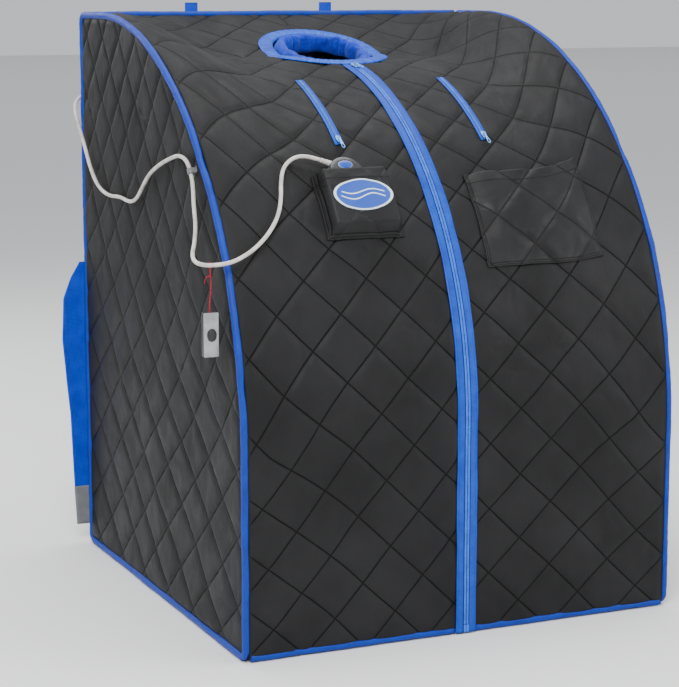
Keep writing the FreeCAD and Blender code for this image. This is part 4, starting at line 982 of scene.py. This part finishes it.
def side_path(sign):
    """Closed loop along a side's edges, with the small kinks that the cloth pulls in."""
    inset, bend = PIPE_R, 16 * MM
    radius = EDGE_R - inset
    front, back, top = -HALF_D + inset, HALF_D - inset, HEIGHT - inset

    def corner(cy, cz, a0, a1):
        a = np.radians(np.linspace(a0, a1, 9))
        return stack(cy + bend * np.cos(a), cz + bend * np.sin(a))

    def straight(p, q):
        count = max(2, int(math.dist(p, q) / (8 * MM)))
        t = np.linspace(0, 1, count)[1:-1, None]
        return np.array(p) * (1 - t) + np.array(q) * t

    turn = np.linspace(0, math.pi / 2, 150)
    arc = stack(EDGE_R - HALF_D - radius * np.cos(turn), EDGE_RISE + radius * np.sin(turn))
    lows = corner(front + bend, inset + bend, 270, 180)
    highs = corner(back - bend, top - bend, 90, 0)
    feet = corner(back - bend, inset + bend, 0, -90)
    line = np.concatenate([lows, straight(lows[-1], arc[0]), arc, straight(arc[-1], highs[0]),
                           highs, straight(highs[-1], feet[0]), feet,
                           straight(feet[-1], lows[0])])
    pull = np.zeros(len(line))
    for z, deep in ((0.800, 3.2 * MM), (0.455, 2.4 * MM), (0.640, -1.6 * MM)):
        on_front = line[:, 0] < EDGE_R - HALF_D
        pull += np.where(on_front, deep * np.exp(-((line[:, 1] - z) / 0.022) ** 2), 0)
    line = line + stack(pull, -pull * 0.4)
    sway = 1.0 * MM * drift(line[:, 0], line[:, 1], 0.07, 20 + sign)
    return stack(sign * (PIPE_X + sway * 0.6), line[:, 0], line[:, 1])


def cross_path(y, z, x0, x1, seed, wave=0.8 * MM):
    """A slightly wavy line straight across."""
    x = np.linspace(x0, x1, max(8, int(abs(x1 - x0) / (7 * MM))))
    return stack(x, y + wave * drift(x, 0, 0.05, seed), z + wave * drift(x, 1, 0.06, seed))


def hem(name, y, x0, x1, path_seed, seed):
    """A bottom hem: a flattened binding that stays clear of the floor."""
    path = cross_path(y, HEM_TALL / 2 + 0.3 * MM, x0, x1, path_seed, 0.5 * MM)
    path[:, 2] = np.maximum(path[:, 2], HEM_R + 0.2 * MM)
    return binding(name, path, False, (0, 0, 1), seed, HEM_R, 0.82)


def bindings():
    """Blue edges: round each side, along the back's top and at the foot."""
    hem_y = HALF_D - HEM_INSET
    for side, sign in (("left", -1), ("right", 1)):
        obj = binding(side + "_edge_binding", side_path(sign), True, (1, 0, 0), 30 + sign)
        piece(obj, "tent", "blue_binding", side + "_side_piping")
        x0, x1 = sign * (INNER_X - 1 * MM), sign * (TAPE_HALF + 0.5 * MM)
        obj = hem(side + "_front_hem", -hem_y, x0, x1, 40 + sign, 44 + sign)
        cross_fold(obj, side, sign, "blue_binding", side + "_flap_hem")
    path = cross_path(HALF_D - PIPE_R, HEIGHT - PIPE_R, -INNER_X, INNER_X, 50)
    piece(binding("back_top_binding", path, False, (0, 0, 1), 51), "tent", "blue_binding",
          "back_top_piping")
    piece(hem("back_hem_binding", hem_y, -INNER_X, INNER_X, 52, 53), "tent", "blue_binding",
          "back_hem")


bindings()


# ---------------------------------------------------------------- zips
ZIP_TOP = at_angle(78.4)
SEAM = 0.3 * MM              # from the middle to each half of the zip
DOOR_SLIDER, ARM_SLIDER = 76.8, 51.2         # degrees on the arc
TAPE_THICK, ARM_TAPE_HALF = 1.2 * MM, 8 * MM


def tape_strip(name, x0, x1, s0, s1, mat, seed, lift=0.5 * MM, middle=0.0):
    """A flat woven tape along the cover; cloth x is measured from the zip's middle."""
    across = np.linspace(0, 1, 9)
    s = np.linspace(s0, s1, int((s1 - s0) / (4 * MM)) + 2)
    a, s = grid(across, s)
    sway = 0.7 * MM * drift(s, 0, 0.05, seed) * (a if abs(x1) > abs(x0) else 1 - a)
    x = x0 + (x1 - x0) * a + sway
    crown = 0.5 * MM * np.sin(a * math.pi) + 0.4 * MM * drift(s, a, 0.035, seed + 1) * a
    outer = skin(x, s, lift + crown)
    inner = skin(x, s, lift - TAPE_THICK)
    flat = stack(x - middle, s, 0)
    if x1 < x0:
        outer, inner, flat = outer[::-1], inner[::-1], flat[::-1]
    return shell(name, outer, inner, mat, None, {"cloth": flat})


def coil_strip(name, x0, x1, s0, s1, height, base, phase):
    """One side of a zip's coil: a row of teeth over a core, alternate with the other side."""
    pitch = 2.6 * MM
    step = pitch / 4
    s = np.arange(s0, s1, step)
    a = np.linspace(0, math.pi, 7)
    tooth = 0.72 + 0.28 * np.cos((s / pitch + phase) * 2 * math.pi)
    arch = np.sin(a) ** 0.7
    x = (x0 + x1) / 2 - (x1 - x0) / 2 * np.cos(a)[None, :] * (0.88 + 0.12 * tooth[:, None])
    lift = base + height * arch[None, :] * tooth[:, None]
    top = skin(x, np.broadcast_to(s[:, None], x.shape), lift)
    foot = skin(x[:, ::-1], np.broadcast_to(s[:, None], x.shape), base - 0.6 * MM)
    rings = np.concatenate([top, foot[:, 1:-1]], 1)
    return loft(name, rings, COIL)


def door_zip(side, sign):
    """One half of the front zip: its tape and its row of teeth."""
    tape = tape_strip(side + "_zip_tape", sign * SEAM, sign * TAPE_HALF, 2 * MM, ZIP_TOP, TAPE,
                      60 + sign)
    cross_fold(tape, side, sign, "blue_tape", side + "_flap_zip",
               *left_only(side, "main_zip_tape"))
    coil = coil_strip(side + "_zip_coil", sign * SEAM, sign * 4.6 * MM, 17 * MM, ZIP_TOP - 2 * MM,
                      1.9 * MM, 0.7 * MM, 0.0 if sign < 0 else 0.5)
    cross_fold(coil, side, sign, "zip_coil", *left_only(side, "main_zip_coil"))


def bottom_stops():
    """Insertion pin and retainer box at the foot of the door zip."""
    place = front_frame(0, -HALF_D, 0)
    for side, sign, wide, node in (("left", -1, 4.2 * MM, "zip_pin"),
                                   ("right", 1, 5.0 * MM, "zip_retainer_box")):
        outline = [(sign * (SEAM + wide / 2) + px, 9 * MM + py) for px, py in
                   oval(wide / 2, 7 * MM, 28, 5.0)]
        obj = plate(side + "_zip_foot", outline, 0.5 * MM, 2.0 * MM, place, COIL, 0.5 * MM)
        piece(obj, side + "_door", "zip_coil", node)


def slider_mesh(name, x, half, base, degrees, tall, long):
    """A zip slider: a shoe that narrows behind, a bridge and two ribs."""
    place = local_frame(math.radians(degrees), x)
    shoe = [(-half * 0.62, -long / 2), (half * 0.62, -long / 2), (half * 0.96, -long * 0.1),
            (half, long * 0.22), (half * 0.7, long / 2), (-half * 0.7, long / 2),
            (-half, long * 0.22), (-half * 0.96, -long * 0.1)]
    parts = [plate(name, shoe, base, base + tall * 0.45, place, SLIDER, 0.5 * MM)]
    rib = oval(half * 0.12, long * 0.34, 16, 3.0)
    for side in (-1, 1):
        outline = [(px + side * half * 0.62, py + long * 0.06) for px, py in rib]
        parts.append(plate(name + "_rib", outline, base + tall * 0.42, base + tall * 0.62, place,
                           SLIDER, 0.2 * MM))
    origin, _, up, out = place
    turn = np.linspace(0, math.pi, 14)
    path = [origin + up * (math.cos(t) * long * 0.30) + out * (base + tall * 0.42
            + math.sin(t) * tall * 0.5) for t in turn]
    rings = tube_rings(np.array(path), half * 0.2, 10, False, (1, 0, 0), 0.7)
    parts.append(loft(name + "_bridge", rings, SLIDER))
    return join(name, parts)


def pull_mesh(name, x, half, base, degrees, long, tall):
    """A flat pull: a link round the bridge, a waist and a rounded tab with an eye."""
    place = local_frame(math.radians(degrees), x)
    origin, ex, up, out = place
    level = base + tall + 1.0 * MM

    def ring(name, centre, rx, ry, thick):
        turn = circle(28)
        path = np.array([origin + ex * (math.cos(t) * rx) + up * (centre + math.sin(t) * ry)
                         + out * level for t in turn])
        return loft(name, tube_rings(path, thick, 10, True, out, 0.9), SLIDER, True)

    parts = [ring(name, -half * 0.2, half * 0.62, half * 0.8, 0.65 * MM)]
    waist = [(-half * 0.4, -half), (half * 0.4, -half), (half * 0.55, -long * 0.42),
             (half * 0.95, -long * 0.6), (-half * 0.95, -long * 0.6), (-half * 0.55, -long * 0.42)]
    parts.append(plate(name + "_waist", waist[::-1], level - 0.6 * MM, level + 0.6 * MM, place,
                       SLIDER, 0.35 * MM))
    parts.append(ring(name + "_eye", -long * 0.78, half * 0.72, long * 0.19, 0.95 * MM))
    return join(name, parts)


def zips():
    """The door zip and both arm zips, with their sliders and pulls."""
    for side, sign in (("left", -1), ("right", 1)):
        door_zip(side, sign)
        x = sign * ARM_X
        low, high = ARM_S
        tape = tape_strip(side + "_arm_tape", x - ARM_TAPE_HALF, x + ARM_TAPE_HALF, low, high,
                          ARM_TAPE, 70 + sign, 0.7 * MM, x)
        piece(tape, "tent", "blue_tape", side + "_arm_zip")
        coils = [coil_strip(side + "_arm_coil_%d" % part, x + part * 0.15 * MM,
                            x + part * 2.5 * MM, low + 2 * MM, high - 2 * MM, 1.5 * MM, 0.9 * MM,
                            0.5 * (part > 0)) for part in (-1, 1)]
        piece(join(side + "_arm_coil", coils), "tent", "zip_coil")
        body = slider_mesh(side + "_arm_slider_body", x, 4.5 * MM, 2.6 * MM, ARM_SLIDER, 4.6 * MM,
                           16 * MM)
        piece(body, side + "_slider", "zip_metal", side + "_arm_slider")
        tab = pull_mesh(side + "_arm_pull_tab", x, 3.4 * MM, 2.6 * MM, ARM_SLIDER, 27 * MM,
                        4.4 * MM)
        piece(tab, side + "_pull", "zip_metal", side + "_arm_pull")
    bottom_stops()
    body = slider_mesh("door_slider_body", 0.0, 6.5 * MM, 2.5 * MM, DOOR_SLIDER, 4.8 * MM,
                       24 * MM)
    piece(body, "main_slider", "zip_metal", "main_zip_slider")
    tab = pull_mesh("door_pull_tab", 0.0, 4.4 * MM, 2.5 * MM, DOOR_SLIDER, 32 * MM, 4.8 * MM)
    piece(tab, "main_pull", "zip_metal", "main_zip_pull")


zips()


# ---------------------------------------------------------------- neck opening
def neck_oval(radius, turn):
    """Point of the neck's oval in plan at an angle."""
    return (radius * np.cos(turn),
            NECK_Y + radius * np.sin(turn) + NECK_STRAIGHT * np.clip(np.sin(turn) * 3, -1, 1))


NECK_ROLL = 76 * MM, 11.5 * MM, 17.5 * MM    # the collar's middle radius, half width, half height


def neck_ring():
    """Flat satin ring on the cover, slightly gathered."""
    turn = circle(220)
    section = [(90.6, -3.0), (89.8, -0.5), (90.8, 2.0), (94.0, 3.5), (99.0, 3.9), (105.0, 4.0),
               (111.0, 3.5), (115.5, 2.5), (118.0, 1.0), (117.6, -0.6), (108.0, -1.2),
               (97.0, -1.8)]
    rings, flat = [], []
    for radius, lift in section:
        gather = 0.5 * np.sin(turn * 46 + 3 * drift(turn * 0.1, 0, 0.03, 80))
        x, y = neck_oval((radius + 0.4 * drift(turn * 0.1, 0, 0.05, 81)) * MM, turn)
        up = (lift + gather * (0.6 if lift > 1.5 else 0.1)) * MM
        rings.append(skin(x, up_the_middle(y), up))
        flat.append(stack(radius * MM, turn * 105 * MM, 0))
    rings = np.array(rings).transpose(1, 0, 2)
    flat = np.array(flat).transpose(1, 0, 2)
    obj = loft("neck_ring_satin", rings, SATIN, True, {"cloth": flat})
    piece(obj, "tent", "blue_tape", "collar_ring")


def neck_plush():
    """Gathered plush collar: a soft roll with folds that fall inwards."""
    middle_r, half_wide, half_tall = NECK_ROLL
    tilt = math.radians(12)
    centre = np.array([0, NECK_Y, 962 * MM])
    up = np.array([0, -math.sin(tilt), math.cos(tilt)])
    turn = circle(300)
    around = circle(30)
    wrap = np.stack([np.cos(turn) * 0.08, np.sin(turn) * 0.08])
    rings = []
    for a in around:
        inward = (1 - math.cos(a)) / 2
        fold = drift(wrap[0] + 0.002 * math.sin(a), wrap[1], 0.020, 90)
        pleat = np.abs(np.sin(turn * 5.5 + 3.4 * drift(wrap[0], wrap[1], 0.03, 91)))
        bulge = 1.0 - 0.17 * inward * (1 - pleat) + 0.26 * fold
        shape = abs(math.cos(a)) ** 0.8 * math.copysign(1, math.cos(a))
        radius = middle_r + half_wide * shape * np.clip(bulge, 0.6, 1.1)
        radius = radius - inward * 3.5 * MM * (pleat - 0.5)
        tall = (half_tall * math.copysign(abs(math.sin(a)) ** 0.85, math.sin(a))
                * (1.0 + 0.16 * fold - 0.14 * (1 - pleat) * (math.sin(a) > 0)))
        tall = tall * (1 - 0.55 * ease(0.5 - 0.6 * np.sin(turn)) * (math.sin(a) > 0))
        flat = neck_oval(radius, turn)
        x, y = flat[0], flat[1] - NECK_Y
        point = centre + stack(x, y * math.cos(tilt), y * math.sin(tilt))
        rings.append(point + up * tall[:, None])
    rings = np.array(rings).transpose(1, 0, 2)
    obj = loft("neck_plush_roll", rings, PLUSH, True)
    piece(obj, "tent", "plush", "neck_collar")


neck_ring()
neck_plush()


# ---------------------------------------------------------------- pockets and badge
POCKET_PITCH = 2.6 * MM


def pocket_lift(x, s, size, depth, rim):
    """How far a patch pocket stands off the cover; size holds its edges x0, x1, s0 and s1."""
    x0, x1, s0, _ = size
    side = np.minimum(x - x0, x1 - x)
    rise = ease(side / rim) * ease((s - s0 + 2 * MM) / (rim * 1.6))
    slack = 1.5 * MM * drift(x, s, 0.035, 100) + 0.6 * MM * drift(x, s, 0.014, 101)
    under = cover_lift(x, s)[0]
    return (under * (1 - 0.85 * rise * (depth > 10 * MM)) + 2.7 * MM + depth * rise
            + slack * ease(side / (10 * MM)))


LEFT_POCKET = ((-219 * MM, -78 * MM, at_angle(31.2), at_angle(42.9)), 25.6 * MM, 15 * MM)
RIGHT_POCKET = ((66 * MM, 294 * MM, at_angle(25.1), at_angle(42.4)), 7.0 * MM, 44 * MM)


def pocket(side, shape):
    """A patch pocket with a hemmed mouth; the left one bulges over the handset."""
    x0, x1, s0, s1 = shape[0]
    x, s = grid(np.linspace(x0, x1, int((x1 - x0) / POCKET_PITCH)),
                np.linspace(s0, s1, int((s1 - s0) / POCKET_PITCH)))
    d_side, d_top = np.minimum(x - x0, x1 - x), s1 - s
    edge = np.minimum(d_side, s - s0)
    hem_lift = ease((POCKET_HEM + 0.5 * MM - d_top) / (1.5 * MM)) * 0.7 * MM
    seam = -0.5 * MM * np.exp(-((edge - 4.5 * MM) / (1.6 * MM)) ** 2)
    lift = pocket_lift(x, s, *shape)
    sag = -5 * MM * ease(1 - d_top / (40 * MM)) * np.sin(math.pi * (x - x0) / (x1 - x0)) ** 2
    lift = lift + (0 if side == "left" else -0.5) * sag
    u, v = front_lattice(x, s)
    through = 0.9 if side == "right" else 0.35
    press = (side == "left") * 0.8 * MM * (pillow(u, v) - 1) * ease(edge / (8 * MM))
    outer, inner = skin(x, s, lift + hem_lift + seam + press), skin(x, s, lift - 1.3 * MM + press)
    obj = shell(side + "_patch_pocket", outer, inner, POCKET, None,
                {"cloth": stack(x, s, 0),
                 "lattice": stack(u, v, through),
                 "quilt": stack(d_top, edge, 0)})
    piece(obj, "tent", "pocket_cloth", side + "_pocket")


def badge():
    """Oval woven badge that follows the pocket's front, with a merrowed rim."""
    rx, ry = 54 * MM, 28.5 * MM
    cx, cs = -147 * MM, at_angle(37.8)
    radial = np.array([.1, .2, .3, .4, .5, .6, .7, .8, .88, .93, .97, 1.0, 1.0, .98])
    height = np.array([1.1] * 9 + [1.6, 1.8, 1.4, 0.4, -0.2]) * MM
    turn = circle(120)
    r, t = grid(radial, turn)
    px, ps = rx * r * np.cos(t), ry * r * np.sin(t)
    base = pocket_lift(cx + px, cs + ps, *LEFT_POCKET)
    rings = skin(cx + px, cs + ps, base + height[:, None])
    obj = loft("oval_badge", rings, BADGE, False, {"cloth": stack(px, ps, r)})
    piece(obj, "tent", "badge_print", "pocket_badge")


pocket("left", LEFT_POCKET)
pocket("right", RIGHT_POCKET)
badge()


# ---------------------------------------------------------------- handset
def handset_outline(inset):
    """Square foot with rounded corners and a domed head, drawn in by an inset."""
    half, foot, head, bend = 31 * MM - inset, -58 * MM + inset, 27 * MM, 8 * MM - inset * 0.5
    out = [(half * math.cos(t), head + half * math.sin(t))
           for t in np.linspace(0, math.pi, 36)]
    for cx, a0 in ((-half + bend, math.pi), (half - bend, 1.5 * math.pi)):
        out += [(cx + bend * math.cos(t), foot + bend + bend * math.sin(t))
                for t in np.linspace(a0, a0 + math.pi / 2, 9)]
    return out


def handset_shell(name, levels, mat, slot, node):
    """A casing half from pairs of inset and height, in millimetres."""
    origin, ex, up, out = local_frame(HANDSET_ANGLE, HANDSET_X)
    rings = [[origin + ex * px + up * py + out * lift * MM for px, py in
              handset_outline(inset * MM)] for inset, lift in levels]
    return piece(loft(name, rings, mat), "handset", slot, node)


def head_disc(name, radius, low, high, mat):
    """A flat oval on the handset's head."""
    place = local_frame(HANDSET_ANGLE, HANDSET_X)
    outline = [(px, py + 40 * MM) for px, py in oval(radius, radius * 0.62, 48)]
    return plate(name, outline, low, high, place, mat, 0.4 * MM)


def handset():
    """Casing halves, the emblem on the head and the cord's ribbed sleeve."""
    handset_shell("handset_back", [(6, 6.0), (2.5, 6.3), (0.8, 7.4), (0, 9.2), (0, 14.7),
                                   (0.5, 14.9)], SILVER, "grey_plastic", "handset_back_shell")
    handset_shell("handset_front", [(0.5, 15.1), (0, 15.3), (0, 20.2), (0.7, 21.9), (2.2, 23.2),
                                    (4.5, 23.9), (9, 24.0), (16, 24.0), (24, 24.0)],
                  SMOKE, "grey_plastic", "handset_front_shell")
    rim = head_disc("handset_head_rim", 13.0 * MM, 23.6 * MM, 24.5 * MM, SILVER)
    piece(rim, "handset", "grey_plastic")
    mark = head_disc("handset_head_mark", 11.9 * MM, 24.2 * MM, 24.8 * MM, MARK_BLUE)
    piece(mark, "handset", "display_lens")
    tip = np.array(CORD_EXIT) * MM
    aim = np.array([-0.9, 0.4364 * math.sin(HANDSET_ANGLE), 0.4364 * math.cos(HANDSET_ANGLE)])
    aim /= np.linalg.norm(aim)
    ribs = np.linspace(0, 1, 45)
    radius = (5.2 - 1.2 * ribs + 0.45 * np.sign(np.sin(ribs * 38)) * (ribs > 0.1) * (ribs < 0.93))
    path = tip - aim * 19 * MM * (1 - ribs[:, None])
    sleeve = loft("handset_cord_sleeve", tube_rings(path, radius * MM, 20), CORD)
    piece(sleeve, "handset", "cord_jacket", "handset_strain_relief")


handset()


# ---------------------------------------------------------------- pendant switch
def rounded_box(name, low, high, bend, mat):
    """A box between two corners, with every edge rounded."""
    low, high = Vector(low), Vector(high)
    work = bmesh.new()
    bmesh.ops.create_cube(work, size=1.0)
    size = high - low
    bmesh.ops.scale(work, vec=size, verts=work.verts)
    bmesh.ops.translate(work, vec=(low + high) / 2, verts=work.verts)
    bmesh.ops.bevel(work, geom=work.edges[:], offset=bend, segments=4, affect="EDGES",
                    profile=0.5)
    return solid(name, work, mat)


def pendant():
    """Switch with a grey face and a black rear, its key and its knotted red string."""
    low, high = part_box("pendant_front_shell")
    back_low, back_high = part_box("pendant_back_shell")
    face = rounded_box("pendant_face", low, (high.x, high.y - 0.2 * MM, high.z), 1.6 * MM, SILVER)
    piece(face, "pendant", "grey_plastic", "pendant_front_shell")
    rear = rounded_box("pendant_rear", (back_low.x, back_low.y + 0.2 * MM, back_low.z), back_high,
                       1.8 * MM, BLACK)
    piece(rear, "pendant", "black_plastic", "pendant_back_shell")
    key_low, key_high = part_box("pendant_key")
    middle = (key_low + key_high) / 2
    place = front_frame(middle.x, key_low.y, middle.z)
    collar = plate("pendant_key_surround", oval(8.2 * MM, 10.5 * MM, 40, 2.2), -7.2 * MM,
                   -1.0 * MM, place, BLACK, 0.4 * MM)
    piece(collar, "pendant", "black_plastic")
    key = plate("pendant_key_cap", oval(5.8 * MM, 8.0 * MM, 40), -6.0 * MM, 0.4 * MM, place,
                BLACK, 0.9 * MM)
    piece(key, "pendant_button", "black_plastic", "pendant_key")
    string_low, string_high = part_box("pendant_string")
    top = Vector(((string_low.x + string_high.x) / 2, (string_low.y + string_high.y) / 2,
                  string_high.z))
    strands = []

    def strand(name, path, radius, closed=False):
        strands.append(loft(name, tube_rings(path, radius, 7, closed), STRING, closed))

    t = np.linspace(0, 1, 150)
    for phase in (0, math.pi):
        twist = t * 46 + phase
        drop = top.z - t * (string_high.z - string_low.z + 1 * MM)
        sway = 1.2 * MM * np.sin(t * 5)
        strand("string_strand", stack(top.x + 0.55 * MM * np.cos(twist) + sway,
                                      top.y + 0.55 * MM * np.sin(twist), drop), 0.6 * MM)
    knot_at = np.array([top.x, top.y, top.z - 13 * MM])
    t = circle(60)
    knot = stack(np.sin(t) + 2 * np.sin(2 * t), np.cos(t) - 2 * np.cos(2 * t), -np.sin(3 * t))
    strand("string_knot", knot * 0.75 * MM + knot_at, 0.65 * MM, True)
    loop = stack(2.5 * np.cos(t), -2.25 * np.cos(t), 4.6 * np.sin(t)) * MM
    strand("string_loop", loop + np.array([top.x, top.y, top.z + 4.8 * MM]), 0.6 * MM, True)
    t = np.linspace(0, 1, 24)
    strand("string_tail", stack(knot_at[0] - 9 * MM * np.sin(t * 1.7), knot_at[1],
                                knot_at[2] + 5 * MM * t - 16 * MM * t ** 2), 0.55 * MM)
    piece(join("pendant_red_string", strands), "pendant", "red_string", "pendant_string")


pendant()


# ---------------------------------------------------------------- strap and tabs
STRAP_WIDE, TAB_WIDE = 50 * MM, 25 * MM
HOOK_TOP = 116.5 * MM


def strap():
    """Webbing strap behind the back left corner, with a hook patch at its foot."""
    heights = np.array([36, 116, 260, 330, 410, 490, 530, 560]) * MM
    left = -HALF_W - np.array([21.5, 25, 31, 38, 44, 40, 24, 6]) * MM
    right = -HALF_W + np.array([28.5, 25, 19, 13, 6, 9, 10, 10]) * MM
    y0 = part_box("carry_strap")[0].y
    a, z = grid(np.linspace(0, 1, 13), np.linspace(heights[0], heights[-1], 110))
    x = np.interp(z, heights, left) * (1 - a) + np.interp(z, heights, right) * a
    hang = 1.6 * MM * np.sin(z * 14) + 0.8 * MM * drift(x, z, 0.05, 110)
    hang = hang * ease((heights[-1] - z) / 0.05)
    flat = stack((a - 0.5) * STRAP_WIDE, z, 0)
    outer = stack(x, y0 + 1.9 * MM + hang, z)
    inner = stack(x, y0 + 0.2 * MM + hang, z)
    obj = shell("hanging_strap", outer[::-1], inner[::-1], STRAP, None, {"cloth": flat[::-1]})
    piece(obj, "strap", "strap_webbing", "carry_strap")
    foot = z[0] <= HOOK_TOP
    back = np.array([0, 1, 0])
    patch = shell("strap_hook_sleeve", (outer[:, foot] + back * 1.3 * MM)[::-1],
                  (inner[:, foot] - back * 0.9 * MM)[::-1], HOOK, None,
                  {"cloth": flat[:, foot][::-1]})
    piece(patch, "strap", "hook_tape", "strap_hook_patch")


def top_tab(side):
    """A folded loop of webbing sewn behind the back's top edge."""
    low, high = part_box(side + "_top_tab")
    a, t = grid(np.linspace(0, 1, 9), np.linspace(0, 1, 40))
    x = low.x + (high.x - low.x) * a
    bow = np.sin(np.clip((t - 0.35) / 0.65, 0, 1) * math.pi)
    z = low.z + (high.z - low.z) * np.sin(t * math.pi / 2)
    outer = stack(x, high.y + 0.8 * MM + 1.6 * MM * bow, z)
    inner = stack(x, low.y + 0.1 * MM, z - 1.0 * MM * (t > 0.97))
    flat = stack((a - 0.5) * TAB_WIDE, z, 0)
    obj = shell(side + "_tab_loop", outer[::-1], inner[::-1], STRAP, None, {"cloth": flat[::-1]})
    piece(obj, "tent", "strap_webbing", side + "_top_tab")


strap()
top_tab("left")
top_tab("right")


# ---------------------------------------------------------------- CAD pieces that stay
KEPT = {
    STEEL: ["left_hoop_rod", "right_hoop_rod", "back_top_rail", "power_box_screws"],
    HEATER: ["left_heater", "right_heater", "back_heater"],
    LENS: ["handset_display"],
    RUBBER: ["time_key", "power_key", "heat_key"],
    CLIP: ["cord_clip"],
    BLACK: ["power_box_base", "power_box_lid", "cord_gland", "mains_inlet"],
}
SOFT_EDGES = {"power_box_base": 1.6 * MM, "power_box_lid": 1.6 * MM, "cord_clip": 0.5 * MM}
for look, names in KEPT.items():
    for name in names:
        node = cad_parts[name]
        node.data.materials.clear()
        node.data.materials.append(look)
        if name in SOFT_EDGES:
            weld = node.modifiers.new("weld", "WELD")
            weld.merge_threshold = 0.01 * MM
            soft = node.modifiers.new("soft_edges", "BEVEL")
            soft.width, soft.segments = SOFT_EDGES[name], 3
            soft.limit_method, soft.angle_limit = "ANGLE", math.radians(40)
